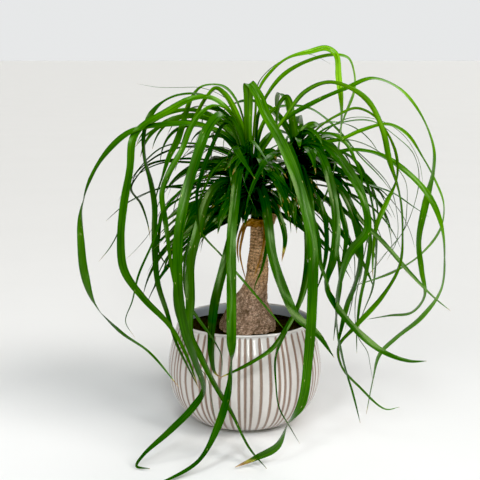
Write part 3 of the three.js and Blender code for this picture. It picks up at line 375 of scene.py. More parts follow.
# Rule for the shorter leaves, as in the part: head, seed, how many, headings, how steeply the lowest and
# the highest leave the stem, length and width
ALL_ROUND = (0, 360)
SHORT_LEAVES = (
    ("left", 11, 38, ALL_ROUND, (-20, 62), (190, 390), (8, 13)),
    ("left", 31, 22, ALL_ROUND, (-20, 50), (70, 165), (7, 12)),
    ("left", 47, 6, (40, 165), (35, 55), (400, 520), (8, 11)),
    ("right", 23, 32, ALL_ROUND, (-20, 62), (190, 380), (8, 13)),
    ("right", 59, 9, ALL_ROUND, (-20, 55), (90, 180), (7, 12)),
    ("right", 53, 5, (10, 120), (35, 55), (400, 520), (8, 11)),
)
# Finer leaves that only the looks have, by the same rule, with the stretch of the stem that they grow from
# and, where it isn't the usual one, the most that they turn sideways
FINE_LEAVES = (
    ("left", 61, 14, ALL_ROUND, (-30, 45), (110, 260), (3, 5), (0, 1), 2.4),
    ("left", 67, 22, (-30, 210), (-15, 40), (80, 190), (5, 9), (0, 0.7)),
    ("left", 79, 24, (-30, 210), (-30, 30), (60, 170), (5, 9), (0, 0.4)),
    ("right", 71, 10, ALL_ROUND, (-30, 45), (110, 260), (3, 5), (0, 1), 2.4),
    ("right", 73, 16, (-40, 210), (-15, 40), (80, 170), (5, 9), (0, 0.7)),
    ("right", 83, 16, (-40, 210), (-25, 30), (60, 160), (5, 9), (0, 0.4)),
    ("left", 91, 54, (110, 270), (-10, 60), (160, 300), (6, 11), (0.1, 1), 2.4),
    ("right", 97, 22, (280, 420), (-10, 50), (150, 280), (6, 10), (0.1, 1), 2.4),
    ("left", 101, 12, (120, 270), (0, 60), (180, 330), (2, 4), (0.3, 1), 2.4),
    ("left", 107, 26, (110, 190), (20, 75), (220, 340), (6, 10), (0.4, 1), 2.4),
    ("left", 113, 30, (130, 235), (-10, 45), (200, 320), (5, 9), (0, 0.8), 1.6),
    ("right", 127, 12, (-60, 60), (-10, 45), (200, 300), (5, 8), (0, 0.8), 1.6),
    ("right", 103, 8, (-80, 90), (0, 60), (180, 330), (2, 4), (0.3, 1), 2.4),
)
GOLDEN_SHARE = 0.618034  # of the headings from one leaf to the next
TURN_SPREAD = 0.1
RISE_SPREAD = 20
FALL = (45, 85)  # how steeply a leaf hangs at its tip, degrees
FALL_BEND = 1.25  # over 1: the leaf bends later along its length
SWAY = 1.1  # most a leaf turns sideways, radians
ROLLS = (40, 90, 120)  # spread of the roll at the root, middle and tip, degrees
SIDE_ROLLS = (10, 50, 60)  # added to those of a leaf that grows to the right, and taken from one to the left
TRIES = 9
TRY_TURN = 0.35  # radians to the next free heading
LEAST_SHARE = 0.3  # of its length that a shortened leaf keeps
LEAF_CLEAR = 2  # between leaves of different heads
STEM_CLEAR = 22  # kept round the other head's stem and the trunk
STEM_STEPS = 12
ROW_STEPS = 4
FREE_STEPS = 4  # steps at the root that are not held clear
IN_BOUNDS_STEPS = 8  # steps at the root that may lie anywhere
SHOWN_SHARE = 0.25  # of a long leaf from which on no short one passes before it
HIDE_SHARE = 0.8  # of two leaves' mean width, which a short one keeps from a long one behind it, as seen
TRUNK_VIEW_X = 15  # the trunk shows here, and leaves hang no lower than FRONT before it and BACK behind it
TRUNK_VIEW_HALF = 75
TRUNK_VIEW_FRONT = 310
TRUNK_VIEW_BACK = 300
POT_VIEW_RADIUS = 140
POT_VIEW_LOW = 230  # leaves hang no lower over the pot
FREE_LOW = 110  # or past it
CURVE_STEPS = 8  # from each point of a route to the next
FINE_STEPS = 40

# Blade of a leaf
BLADE_SEED = 7
NECK = 0.55  # share of its width that a blade has at its root
NECK_SHARE = 0.18  # of its length
TAPER_SHARE = 0.32  # of its length over which a blade narrows to its tip
TAPER_BEND = 0.7
TIP = 0.06
ACROSS = (1, 0.5, 0, -0.5, -1, -0.5, 0, 0.5)  # places of a section's points, from edge to edge and back
UNDER = (0, 0, 0, 0, 0, 1, 1, 1)  # which of them are on the underside
EDGES = (0, 4)  # which of them are the edges
BLADE_THICKNESS = 0.55
THICKEST = 0.5  # of half the width
EDGE_THINNING = 0.4
CUPS = (0.5, 0.26, 0.12, 0.14)  # depth of the channel over half the width, from the root to the tip
CUP_BEND = 1.2
DEAD_CUP = 3  # how much deeper a dead leaf's channel is
BASE_FLARE = 0.9  # how much broader a leaf is where it clasps the stem
BASE_LENGTH = 14
WAVE_ROLL = 5  # degrees
WAVE_LENGTH = 90
WAVE_RISE = (20, 120)  # places along the leaf between which the waves come up
LONG_DRY_TIP = (2, 26)
FOLDED_DRY_TIP = (34, 34)  # of the first long leaf, which folds at its top
SHORT_DRY_TIP = (0.5, 14)
DRY_BEND = 4  # the higher, the rarer a long dry tip
DRY_EDGE = (-1.3, 0.1)  # of the dry tip's length, from the tip, between which the leaf dries out
LEAF_SHIFT = 53.7  # from one leaf's pattern to the next

# How bright a green is, with painted light towards the right and the top and painted shade towards the left
# and near the stem. The painted light's share and the painted shade come up between the two places given
# after them
BASE_TONE = 0.32
NEAR_PAINTED_SHADE = 0.1  # darker near the head's stem
NEAR_REACH = (40, 150)  # distances from the stem's middle over which it fades away
RIGHT_PAINTED_LIGHT = (0.2, 110, 270)
TOP_PAINTED_LIGHT = (0.24, 370, 560)
LEFT_PAINTED_SHADE = (0.06, 60, 220)
TONE_SPREAD = 0.2  # from leaf to leaf
YOUNG_TONE = 0.1

# Torn leaf bases in a ring round the top of the trunk
SCALES = 22
SCALE_SEED = 17
SCALE_TURN = 0.05  # of a full turn, from an even spread
SCALE_ROOTS = 8  # radius of their ring
SCALE_SPREAD = 5  # up and down
SCALE_LENGTHS = (10, 17)
SCALE_WIDTHS = (6, 10)
SCALE_LEANS = (0.15, 0.75)
SCALE_POINTS = 9
SCALE_ROLL = 30  # degrees

# Colours of the light
DAYLIGHT = (1, 0.98, 0.95)
WARM = (1, 0.95, 0.87)
PANE = (0.88, 0.94, 0.9)
SOFT_BLUE = (0.85, 0.93, 1)
# Suns: the way that the light comes from, breadth in degrees, strength and colour
SUNS = (
    ("window", (1.1, -0.7, 1.3), 28, 2.1, DAYLIGHT),
    ("room", (-0.9, -1.2, 0.9), 40, 0.45, WARM),
    ("low_pane", (0.25, -1.5, 0.6), 14, 0.6, PANE),
    ("high_pane", (-0.1, -0.5, 1.1), 12, 0.5, PANE),
    ("behind", (0.7, 1.3, 1.2), 40, 0.8, (1, 1, 1)),
)
# Softboxes that glint on the plant, in metres: place and power
SOFTBOXES = (("softbox", (0.12, -1.5, 1.3), 8), ("left_softbox", (-0.6, -1.45, 1.1), 6))
SOFTBOX_SIZE = 0.3
SOFTBOX_TARGET = (0, 0, 0.15)
SKY = (0.9, 0.94, 1)
SKY_STRENGTH = 0.14
FLOOR_HALF = 60  # metres


def mix(a, b, share):
    return a + (b - a) * share


def smoothstep(x, low, high):
    t = np.clip((x - low) / (high - low), 0, 1)
    return t * t * (3 - 2 * t)


def random_from(seed):
    """Repeatable random numbers from 0 to 1, the same as the part's."""
    word = 0xFFFFFFFF
    state = seed

    def draw():
        nonlocal state
        state = (state + 0x6D2B79F5) & word
        t = ((state ^ (state >> 15)) * (state | 1)) & word
        t ^= (t + (((t ^ (t >> 7)) * (t | 61)) & word)) & word
        return ((t ^ (t >> 14)) & word) / 2**32

    return draw


def smooth_curve(points, steps):
    """A centripetal Catmull-Rom curve through the points, with so many steps from each to the next."""
    p = np.array(points, float)
    p = np.vstack((2 * p[0] - p[1], p, 2 * p[-1] - p[-2]))
    curve = []
    for p0, p1, p2, p3 in zip(p, p[1:], p[2:], p[3:]):
        d0, d1, d2 = (np.linalg.norm(b - a) ** 0.5 for a, b in ((p0, p1), (p1, p2), (p2, p3)))
        t1 = ((p1 - p0) / d0 - (p2 - p0) / (d0 + d1) + (p2 - p1) / d1) * d1
        t2 = ((p2 - p1) / d1 - (p3 - p1) / (d1 + d2) + (p3 - p2) / d2) * d1
        for u in np.arange(steps) / steps:
            squared = (-3 * p1 + 3 * p2 - 2 * t1 - t2) * u**2
            curve.append(p1 + t1 * u + squared + (2 * p1 - 2 * p2 + t1 + t2) * u**3)
    return np.array([*curve, p[-2]])


def placed(name, data):
    """A new object in the scene."""
    made = bpy.data.objects.new(name, data)
    bpy.context.scene.collection.objects.link(made)
    return made


# Meshes


def skin(rings):
    """Points and faces of a closed tube over rings of as many points each, with flat ends."""
    count, sides = rings.shape[:2]
    start = np.arange(count - 1)[:, None] * sides
    here = start + np.arange(sides)
    ahead = start + (np.arange(sides) + 1) % sides
    walls = np.stack((here, ahead, ahead + sides, here + sides), axis=2).reshape(-1, 4)
    ends = [list(range(sides))[::-1], list(range((count - 1) * sides, count * sides))]
    return rings.reshape(-1, 3), walls.tolist() + ends


class Piece:
    """Collects closed bodies with values at their points, and makes one object of them."""

    def __init__(self):
        self.points = []
        self.faces = []
        self.values = {}
        self.count = 0

    def add(self, points, faces, **values):
        self.faces += [[i + self.count for i in face] for face in faces]
        self.points.append(points)
        self.count += len(points)
        for name, value in values.items():
            self.values.setdefault(name, []).append(np.broadcast_to(value, len(points)))

    def make(self, name, material, slot, replaces=(), blades=False):
        """Makes the object. The shading of blades breaks along their edges."""
        mesh = bpy.data.meshes.new(name)
        mesh.from_pydata(np.vstack(self.points) * MM, [], self.faces)
        mesh.shade_smooth()
        for key, values in self.values.items():
            attribute = mesh.attributes.new(key, "FLOAT", "POINT")
            attribute.data.foreach_set("value", np.concatenate(values).astype(np.float32))
        if blades:
            ends = np.empty(len(mesh.edges) * 2, np.int32)
            mesh.edges.foreach_get("vertices", ends)
            ends = ends.reshape(-1, 2) % len(ACROSS)
            sharp = (ends[:, 0] == ends[:, 1]) & np.isin(ends[:, 0], EDGES)
            mesh.edges.foreach_set("use_edge_sharp", sharp)
        mesh.materials.append(material)
        made = placed(name, mesh)
        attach(made, "root")
        if replaces:
            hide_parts(*replaces)


# Materials


class Finish:
    """A procedural material: its nodes are added one call at a time."""

    def __init__(self, name, **values):
        self.material = bpy.data.materials.new(name)
        self.material.use_nodes = True
        self.tree = self.material.node_tree
        self.surface = self.tree.nodes["Principled BSDF"]
        for key, value in values.items():
            self.surface.inputs[key.replace("_", " ")].default_value = value

    def node(self, kind, inputs=(), **settings):
        made = self.tree.nodes.new(kind)
        for key, value in settings.items():
            setattr(made, key, value)
        for key, value in dict(inputs).items():
            self.put(made.inputs[key], value)
        return made

    def put(self, socket, value):
        if isinstance(value, bpy.types.NodeSocket):
            self.tree.links.new(value, socket)
        else:
            socket.default_value = value

    def show(self, **sockets):
        for key, value in sockets.items():
            self.put(self.surface.inputs[key.replace("_", " ")], value)

    def value(self, name):
        return self.node("ShaderNodeAttribute", attribute_name=name).outputs["Fac"]

    def place(self):
        return self.node("ShaderNodeTexCoord").outputs["Object"]

    def math(self, operation, a, b=0.0, clamp=False):
        made = self.node("ShaderNodeMath", {0: a, 1: b}, operation=operation, use_clamp=clamp)
        return made.outputs[0]

    def plus(self, a, b, clamp=False):
        return self.math("ADD", a, b, clamp)

    def times(self, a, b):
        return self.math("MULTIPLY", a, b)

    def along_leaf(self):
        """Places across and along a leaf, and a shift that tells one leaf from the next."""
        side, run, number = (self.value(name) for name in ("side", "run", "number"))
        return side, run, self.times(number, LEAF_SHIFT)

    def vector(self, x=0.0, y=0.0, z=0.0):
        return self.node("ShaderNodeCombineXYZ", {0: x, 1: y, 2: z}).outputs[0]

    def noise(self, vector, scale, detail=3.0, roughness=0.5):
        inputs = {"Vector": vector, "Scale": scale, "Detail": detail, "Roughness": roughness}
        return self.node("ShaderNodeTexNoise", inputs).outputs[0]

    def cells(self, vector, scale, feature="F1", output="Distance"):
        inputs = {"Vector": vector, "Scale": scale}
        return self.node("ShaderNodeTexVoronoi", inputs, feature=feature).outputs[output]

    def step(self, value, low, high, to_low=0.0, to_high=1.0):
        inputs = {0: value, 1: low, 2: high, 3: to_low, 4: to_high}
        made = self.node("ShaderNodeMapRange", inputs, interpolation_type="SMOOTHSTEP")
        return made.outputs[0]

    def ramp(self, factor, *stops):
        made = self.node("ShaderNodeValToRGB", {0: factor})
        elements = made.color_ramp.elements
        for _ in stops[2:]:
            elements.new(1)
        for element, (place, color) in zip(elements, stops):
            element.position = place
            element.color = (*color, 1)
        return made.outputs[0]

    def blend(self, share, a, b, kind="MIX"):
        """Colour a turned into colour b by the share."""
        made = self.node("ShaderNodeMix", data_type="RGBA", blend_type=kind)
        for socket, value in zip([s for s in made.inputs if s.enabled], (share, a, b)):
            self.put(socket, (*value, 1) if isinstance(value, tuple) else value)
        return [s for s in made.outputs if s.enabled][0]

    def bump(self, height, depth, strength=1.0, normal=None):
        inputs = {"Height": height, "Distance": depth * MM, "Strength": strength}
        made = self.node("ShaderNodeBump", inputs)
        if normal:
            self.put(made.inputs["Normal"], normal)
        return made.outputs[0]


def glaze_finish():
    """White glaze that breaks to tan in the grooves, thin blue-grey glaze inside."""
    finish = Finish("white_glaze", IOR=1.5, Coat_Weight=0.5, Coat_Roughness=0.06)
    place = finish.place()
    drift = finish.noise(place, 42)
    fine = finish.noise(place, 420, 2)
    groove = finish.plus(finish.value("groove"), finish.times(drift, 0.3))
    groove = finish.plus(groove, finish.times(fine, 0.22))
    white = finish.blend(drift, (0.54, 0.5, 0.47), (0.66, 0.62, 0.585))
    shoulder = finish.blend(finish.step(groove, 0.32, 0.6), white, (0.38, 0.32, 0.3))
    clay = finish.blend(fine, (0.16, 0.095, 0.065), (0.3, 0.2, 0.15))
    outside = finish.blend(finish.step(groove, 0.52, 0.85), shoulder, clay)
    pale = finish.blend(drift, (0.48, 0.50, 0.55), (0.62, 0.64, 0.69))
    color = finish.blend(finish.value("inner"), outside, pale)
    color = finish.blend(finish.value("bare"), color, (0.50, 0.40, 0.31))
    finish.show(Base_Color=color, Roughness=finish.step(groove, 0.6, 1.0, 0.13, 0.38))
    waves = finish.noise(place, 60, 2)
    finish.show(Normal=finish.bump(fine, 0.12, 0.25, finish.bump(waves, 1.1, 0.35)))
    return finish.material


def soil_finish():
    """Nearly black, with fibres in it."""
    finish = Finish("potting_soil", Specular_IOR_Level=0.08)
    place = finish.place()
    grains = finish.noise(place, 380, 5, 0.7)
    clods = finish.noise(place, 70)
    color = finish.blend(grains, (0.003, 0.001, 0.001), (0.02, 0.008, 0.006))
    fibres = finish.step(finish.cells(place, 240), 0.16, 0.05)
    color = finish.blend(finish.times(fibres, 0.5), color, (0.09, 0.05, 0.03))
    finish.show(Base_Color=color, Roughness=finish.step(clods, 0.3, 0.7, 0.75, 1.0))
    finish.show(Normal=finish.bump(grains, 1.6, 0.8, finish.bump(clods, 3, 0.6)))
    return finish.material


def bark_finish():
    """Grey-brown cork on the swollen foot, warmer and ringed up the stem."""
    finish = Finish("palm_bark", Specular_IOR_Level=0.2)
    place = finish.place()
    patches = finish.noise(place, 110, 4, 0.65)
    grain = finish.noise(place, 520, 5, 0.7)
    crust = finish.cells(place, 190, "DISTANCE_TO_EDGE")
    cork_tones = (0.17, 0.095, 0.06), (0.46, 0.28, 0.19), (0.78, 0.56, 0.43)
    stem_tones = (0.4, 0.2, 0.085), (0.74, 0.41, 0.19), (1.0, 0.66, 0.38)
    cork, stem = (finish.ramp(patches, *zip((0.3, 0.52, 0.75), own)) for own in (cork_tones, stem_tones))
    color = finish.blend(finish.value("stem"), cork, stem)
    color = finish.blend(finish.step(grain, 0.4, 0.75, 0.0, 0.4), color, (0.85, 0.68, 0.5))
    # Painted shade in the fine creases between the cork's cells
    painted_crease_shade = finish.step(crust, 0.1, 0.0, 0.0, 0.8)
    color = finish.blend(painted_crease_shade, color, (0.14, 0.08, 0.045))
    flecks = finish.step(finish.noise(place, 300, 3, 0.6), 0.6, 0.75, 0.0, 0.6)
    color = finish.blend(flecks, color, (0.07, 0.038, 0.02))
    # Painted shade, darkest where the bark is sunk: in the cork's cracks, the rings and the knots
    color = finish.blend(finish.value("crack"), color, (0.045, 0.022, 0.01))
    finish.show(Base_Color=color, Roughness=0.92)
    finish.show(Normal=finish.bump(grain, 1.6, 0.9, finish.bump(crust, 1.6, 0.8)))
    return finish.material


def leaf_finish():
    """Satin green with lengthwise veins, painted shade down the middle of the channel, paler below, a few dry
    specks and a dry tip.
    """
    finish = Finish("palm_leaf", IOR=1.45, Specular_IOR_Level=0.34, Specular_Tint=(0.75, 1, 0.4, 1))
    side, run, shift = finish.along_leaf()
    veins = finish.noise(finish.vector(side, finish.times(run, 0.012), shift), 1.15, 3)
    bands = finish.noise(finish.vector(finish.times(side, 0.3), run, shift), 0.016, 2)
    # The tone holds painted light and painted shade from where the leaf lies, besides each leaf's own
    # brightness
    tone = finish.plus(finish.value("tone"), finish.step(bands, 0.2, 0.8, -0.1, 0.1))
    tone = finish.plus(tone, finish.step(veins, 0.25, 0.75, -0.14, 0.14))
    # Painted shade down the middle of the channel, weaker further along the leaf
    painted_channel_shade = finish.step(finish.math("ABSOLUTE", side), 0.3, 1.6, -0.14, 0.0)
    painted_channel_shade = finish.times(painted_channel_shade, finish.step(run, 60, 240, 1.0, 0.3))
    tone = finish.plus(tone, painted_channel_shade, clamp=True)
    green = finish.ramp(
        tone,
        (0.0, (0.0015, 0.016, 0.0005)),
        (0.3, (0.008, 0.054, 0.001)),
        (0.55, (0.03, 0.125, 0.0015)),
        (0.78, (0.095, 0.27, 0.003)),
        (1.0, (0.24, 0.5, 0.02)),
    )
    below = finish.blend(0.35, green, (0.13, 0.27, 0.04))
    color = finish.blend(finish.times(finish.value("under"), 0.3), green, below)
    spread = finish.vector(finish.times(side, 0.55), finish.times(run, 0.08), shift)
    spots, rare = (finish.cells(spread, 1, output=output) for output in ("Distance", "Color"))
    speck = finish.times(finish.step(spots, 0.19, 0.1), finish.step(rare, 0.79, 0.82))
    color = finish.blend(speck, color, (0.42, 0.4, 0.16))
    dry = finish.plus(finish.value("dry"), finish.step(veins, 0.3, 0.7, -0.2, 0.2))
    yellow = finish.blend(finish.step(dry, 0.25, 0.45), color, (0.36, 0.33, 0.05))
    brown = finish.blend(finish.step(dry, 0.45, 0.62), yellow, (0.2, 0.095, 0.03))
    color = finish.blend(finish.step(dry, 0.72, 1.0), brown, (0.52, 0.36, 0.19))
    finish.show(Base_Color=color, Roughness=finish.step(dry, 0.3, 0.7, 0.24, 0.8))
    finish.show(Normal=finish.bump(veins, 0.22, 0.5))
    return finish.material


def dry_leaf_finish():
    """Brown and golden patches with lengthwise veins."""
    finish = Finish("dry_leaf", Specular_IOR_Level=0.3)
    side, run, shift = finish.along_leaf()
    veins = finish.noise(finish.vector(side, finish.times(run, 0.03), shift), 1.6, 4)
    patches = finish.noise(finish.vector(side, run, shift), 0.07, 3)
    color = finish.ramp(
        patches,
        (0.3, (0.09, 0.035, 0.01)),
        (0.48, (0.32, 0.14, 0.02)),
        (0.62, (0.48, 0.24, 0.035)),
        (0.8, (0.6, 0.42, 0.2)),
    )
    color = finish.blend(finish.step(veins, 0.4, 0.7, 0.0, 0.5), color, (0.12, 0.055, 0.02))
    finish.show(Base_Color=color, Roughness=0.75, Normal=finish.bump(veins, 0.5, 0.8))
    return finish.material


# Pot


def rib_marks():
    """Angles round the pot, each with how deep in a groove it is, from 0 to 1."""
    marks = []
    angle = RIBS_FROM
    for width in RIB_WIDTHS * RIB_REPEATS:
        half = width / 2
        rising = (0, *RIB_SAMPLES, (GROOVE_HALF + half) / 2)
        for apart in (*rising, half, *[width - step for step in reversed(rising[1:])]):
            away = min(apart, width - apart)
            cut = (1 + math.cos(math.pi * min(away / GROOVE_HALF, 1))) / 2
            crest = (1 - away / half) ** 2
            marks.append((math.radians(angle + apart), mix(cut, crest, CREST_SHARE)))
        angle += width
    return np.array(marks)


def pot():
    """One skin from the foot up the ribbed outside, over the rounded lip and down the smooth inside."""
    angles, depths = rib_marks().T
    outside = smooth_curve(POT_PROFILE, PROFILE_STEPS)
    heights = np.linspace(0, 1, POT_ROWS) * LIP_HEIGHT
    radii = np.interp(heights, outside[:, 1], outside[:, 0])
    inner = smooth_curve(POT_INSIDE, INSIDE_STEPS)[::-1]
    inner = inner[inner[:, 1] < LIP_HEIGHT]
    out = radii[-1] + LIP_PROUD
    into = inner[0, 0]
    lip = []
    for turn in np.linspace(0, math.pi, LIP_STEPS):
        radius = (out + into) / 2 + (out - into) / 2 * math.cos(turn)
        lip.append((radius, mix(LIP_HEIGHT, POT_HEIGHT, math.sin(turn))))
    rows = np.vstack((np.column_stack((radii, heights)), lip, inner))
    ribbed = np.zeros((len(rows), 1))
    ribbed[:POT_ROWS, 0] = smoothstep(LIP_HEIGHT - heights, *RIB_FADE) * smoothstep(heights, *FOOT_FADE)
    radius = rows[:, :1] - RIB_DEPTH * ribbed * depths
    height = np.broadcast_to(rows[:, 1:], radius.shape)
    rings = np.stack((radius * np.cos(angles), radius * np.sin(angles), height), axis=2)
    row = np.arange(len(rows)).repeat(len(angles))
    piece = Piece()
    piece.add(
        *skin(rings), groove=(ribbed * depths).ravel(), inner=row >= POT_ROWS + LIP_STEPS - 1, bare=row == 0
    )
    piece.make("pot_glazed", glaze_finish(), "glaze", ["pot"])


# Trunk


def trunk_lumps(a, z):
    """The swollen foot's bulges, as in the part."""
    swell = smoothstep(LUMPS_TOP - z, 0, LUMPS_FADE)
    return 1 + TRUNK_LUMPS * swell * (0.6 * math.sin(3 * a + 0.8) + 0.4 * math.sin(5 * a + z / 14))


def bark(x, y, z, a, stem):
    """How far the bark stands out at a point of the trunk, and how much painted shade it gets for lying in a
    crack, ring or knot.

    A place is divided by the distance over which its noise changes.
    """
    here = Vector((x, y, z))
    bent = Vector([noise.noise(here / 5)] * 3)
    nearest = noise.voronoi(Vector((x, y, z * CORK_SQUEEZE)) / CORK_CELL + bent)[0]
    crack = 1 - float(smoothstep(nearest[1] - nearest[0], *CORK_CRACK))
    cork = CORK_SWELL * noise.fractal(Vector((x, y, z * 0.5)) / 7, 1, 2, 4) - CRACK_DEPTH * crack
    phase = (z + SCAR_WANDER * noise.noise(here / 14) + 1.1 * math.sin(a + z / 17)) / SCAR_STEP
    share = phase % 1
    whole = float(smoothstep(noise.noise(Vector((x, y, phase // 1 * 9)) / 9), *SCAR_BREAKS))
    ring = math.exp(-((min(share, 1 - share) / SCAR_HALF) ** 2)) * whole
    ringed = 0.5 * share - ring + 0.3 * noise.fractal(here / 4, 1, 2, 2)
    near = float(smoothstep(abs(z - KNOTS_AT), KNOTS_SPREAD, 0))
    knot = near * float(smoothstep(noise.noise(Vector((x, y, z * 1.4)) / 4), 0.05, 0.4))
    return mix(cork, ringed, stem) - KNOT_DEPTH * knot, max(mix(0.6 * crack, 0.7 * ring, stem), 0.9 * knot)


def stem_body(rows, sides):
    """A trunk or branch with its bark, and the values that its colours need."""
    rings, cracks, stems = [], [], []
    for x, y, z, r in smooth_curve(rows, TRUNK_STEPS):
        stem = float(smoothstep(z, *STEM_FROM))
        ring = []
        for a in np.arange(sides) / sides * 2 * math.pi:
            radius = r * trunk_lumps(a, z)
            out, crack = bark(x + radius * math.cos(a), y + radius * math.sin(a), z, a, stem)
            radius += out
            ring.append((x + radius * math.cos(a), y + radius * math.sin(a), z))
            cracks.append(crack)
            stems.append(stem)
        rings.append(ring)
    return skin(np.array(rings)), {"crack": np.array(cracks), "stem": np.array(stems)}


def trunk():
    piece = Piece()
    for rows, sides in ((TRUNK, TRUNK_SIDES), (BRANCH, BRANCH_SIDES)):
        body, values = stem_body(rows, sides)
        piece.add(*body, **values)
    piece.make("trunk_bark", bark_finish(), "bark", ["trunk"])


# Soil


def soil_top(r, a):
    """Height of the smoothed soil, as in the part."""
    bumps = math.sin(5 * a + r / 9) * math.sin(3 * a - r / 13)
    return SOIL_HEIGHT + SOIL_CROWN * (1 - r / 100) + SOIL_BUMP * bumps


def soil_lumps(x, y, share):
    """How far clods and grains stand above the smooth soil, at that share of the way in from the wall."""
    here = Vector((x, y, 0))
    lumps = CLOD_HEIGHT * noise.fractal(here / CLOD_SIZE, 1, 2, 4)
    lumps += GRAIN_HEIGHT * abs(noise.noise(here / GRAIN_SIZE))
    return lumps * min(1, CLODS_RISE * share)


def soil():
    """A body that fills the pot round the trunk, its top ring by ring from the wall to the trunk."""
    angles = np.arange(SOIL_SIDES) / SOIL_SIDES * 2 * math.pi
    turn = np.stack((np.cos(angles), np.sin(angles)), 1)
    wall = smooth_curve(POT_INSIDE, INSIDE_STEPS)
    low = [(r - SOIL_GAP, z + SOIL_GAP) for r, z in wall if z < SOIL_HEIGHT - 1]
    edge = np.interp(SOIL_HEIGHT, wall[:, 1], wall[:, 0]) - SOIL_GAP
    rings = [np.column_stack((r * turn, np.full(SOIL_SIDES, z))) for r, z in [*low, (edge, SOIL_HEIGHT)]]
    x, y, z, r = TRUNK[2]  # where the foot comes out of the soil
    hole = np.array([np.array((x, y)) + r * trunk_lumps(a, z) * way for a, way in zip(angles, turn)])
    for i in range(1, SOIL_ROWS + 1):
        share = i / SOIL_ROWS
        flat = mix(edge * turn, hole, share)
        tops = [soil_top(math.hypot(*place), a) + soil_lumps(*place, share) for place, a in zip(flat, angles)]
        rings.append(np.column_stack((flat, tops)))
    x, y, z, r = TRUNK[0]  # its end, down in the soil
    rings.append(np.column_stack((np.array((x, y)) + r * turn, np.full(SOIL_SIDES, z))))
    finish = soil_finish()
    bed = Piece()
    bed.add(*skin(np.array(rings)))
    bed.make("soil_bed", finish, "soil", ["soil"])
    crumbs(edge - CRUMBS_MARGIN).make("soil_crumbs", finish, "soil")


def crumbs(reach):
    """Loose lumps and bits of bark that lie half sunk in the soil."""
    form = bmesh.new()
    bmesh.ops.create_icosphere(form, subdivisions=2, radius=1)
    form.verts.index_update()
    shape = np.array([v.co for v in form.verts])
    faces = [[v.index for v in f.verts] for f in form.faces]
    form.free()
    draw = random_from(CRUMB_SEED)
    piece = Piece()
    for _ in range(CRUMBS):
        a = 2 * math.pi * draw()
        r = mix(CRUMBS_FROM, reach, draw() ** 0.6)
        size = mix(*CRUMB_SIZES, draw() ** 2)
        long = mix(1, CRUMB_STRETCH, draw() ** 3)
        turned = 2 * math.pi * draw()
        own = Vector((a, r, size)) * 9
        lumpy = np.array([1 + CRUMB_LUMPS * noise.noise(Vector(p) * 1.3 + own) for p in shape])
        local = shape * lumpy[:, None] * size * np.array((long, 1, CRUMB_FLATNESS))
        c, s = math.cos(turned), math.sin(turned)
        local = local @ np.array(((c, s, 0), (-s, c, 0), (0, 0, 1)))
        place = (r * math.cos(a), r * math.sin(a), soil_top(r, a) + CRUMB_LIFT)
        piece.add(local + np.array(place), faces)
    return piece


# Leaves: routes listed and by rule, as in the part, then the finer ones


@dataclass
class Leaf:
    """A leaf of a head: the rolls are in degrees and spread evenly along its points."""

    head: str
    width: float
    roll: tuple
    points: np.ndarray
    rise: float = 1  # share of the head's height, which stands for how young the leaf is
    taper: float = TAPER_SHARE
    tone: float = 0  # how much brighter than others of its place
    dry_tip: tuple = LONG_DRY_TIP  # least and most of the tip that has died back


def followed(head, width, tone, roll, route, taper=TAPER_SHARE):
    """A leaf along its own route. The last roll that it names holds to its tip."""
    stem = HEADS[head]
    foot, top = stem.base[2], stem.tip[2]
    up = np.clip((route[0][2] - ROOT_DROP - foot) / (top - foot), *stem.roots)
    rolls = (roll[0], *roll, *roll[-1:] * (len(route) - len(roll)))
    return Leaf(head, width, rolls, smooth_curve([stem.at(up), *route], CURVE_STEPS), up, taper, tone)


def arching(root, heading, rise, fall, length, sway):
    """A route that rises from its root and hangs to its tip. Angles are in radians."""
    points = [root]
    for i in range(FINE_STEPS):
        share = (i + 0.5) / FINE_STEPS
        pitch = rise - (rise + fall) * share**FALL_BEND
        turned = heading + sway * share * share
        level = math.cos(pitch)
        way = np.array((level * math.cos(turned), level * math.sin(turned), math.sin(pitch)))
        points.append(points[-1] + length / FINE_STEPS * way)
    return np.array(points)


def out_of_bounds(points, head):
    """Whether a leaf reaches too far out or hangs too low, at each of its points."""
    x, y, z = points.T
    far = np.hypot(x - head.tip[0], y - head.tip[1]) > head.reach
    before = np.abs(x - TRUNK_VIEW_X) < TRUNK_VIEW_HALF
    over = np.where(np.hypot(x, y) < POT_VIEW_RADIUS, POT_VIEW_LOW, FREE_LOW)
    lowest = np.where(before, np.where(y < 0, TRUNK_VIEW_FRONT, TRUNK_VIEW_BACK), over)
    return far | (z < lowest)


def as_seen(points):
    """Where points are for the viewer, at the pot's distance, and how far back they lie."""
    x, y, z = (points - np.array(CAMERA_PLACE)).T
    return np.stack((x / y, z / y, y / -CAMERA_PLACE[1])) * -CAMERA_PLACE[1]


def hides(points, width, shown):
    """Whether a leaf passes before one of those that are to show, at each of its points."""
    x, z, back = (row[:, None] for row in as_seen(points))
    there_x, there_z, there_back, wide = shown
    apart = np.hypot(x - there_x, z - there_z)
    return ((apart < HIDE_SHARE * (width + wide) / 2) & (back < there_back)).any(axis=1)


def shown_part(leaves):
    """The stretches of the long leaves that are to show, as they are seen, with their widths."""
    parts = [leaf.points[int(len(leaf.points) * SHOWN_SHARE) :] for leaf in leaves]
    widths = np.concatenate([np.full(len(p), leaf.width) for p, leaf in zip(parts, leaves)])
    return np.vstack((as_seen(np.vstack(parts)), widths))


def misplaced(points, width, head, shown):
    """Whether a leaf is out of bounds or hides a long one, at each of its points past the first few."""
    rest = points[IN_BOUNDS_STEPS:]
    return out_of_bounds(rest, head) | hides(rest, width, shown)


def too_close(points, width, others):
    for other, other_width in others:
        apart = np.linalg.norm(points[FREE_STEPS:, None] - other[None], axis=2)
        if (apart < (width + other_width) / 2 + LEAF_CLEAR).any():
            return True
    return False


def straight(a, b, steps):
    return np.array([mix(np.array(a, float), np.array(b, float), i / steps) for i in range(steps + 1)])


def along_rows(rows):
    return np.vstack([straight(a[:3], b[:3], ROW_STEPS) for a, b in zip(rows, rows[1:])])


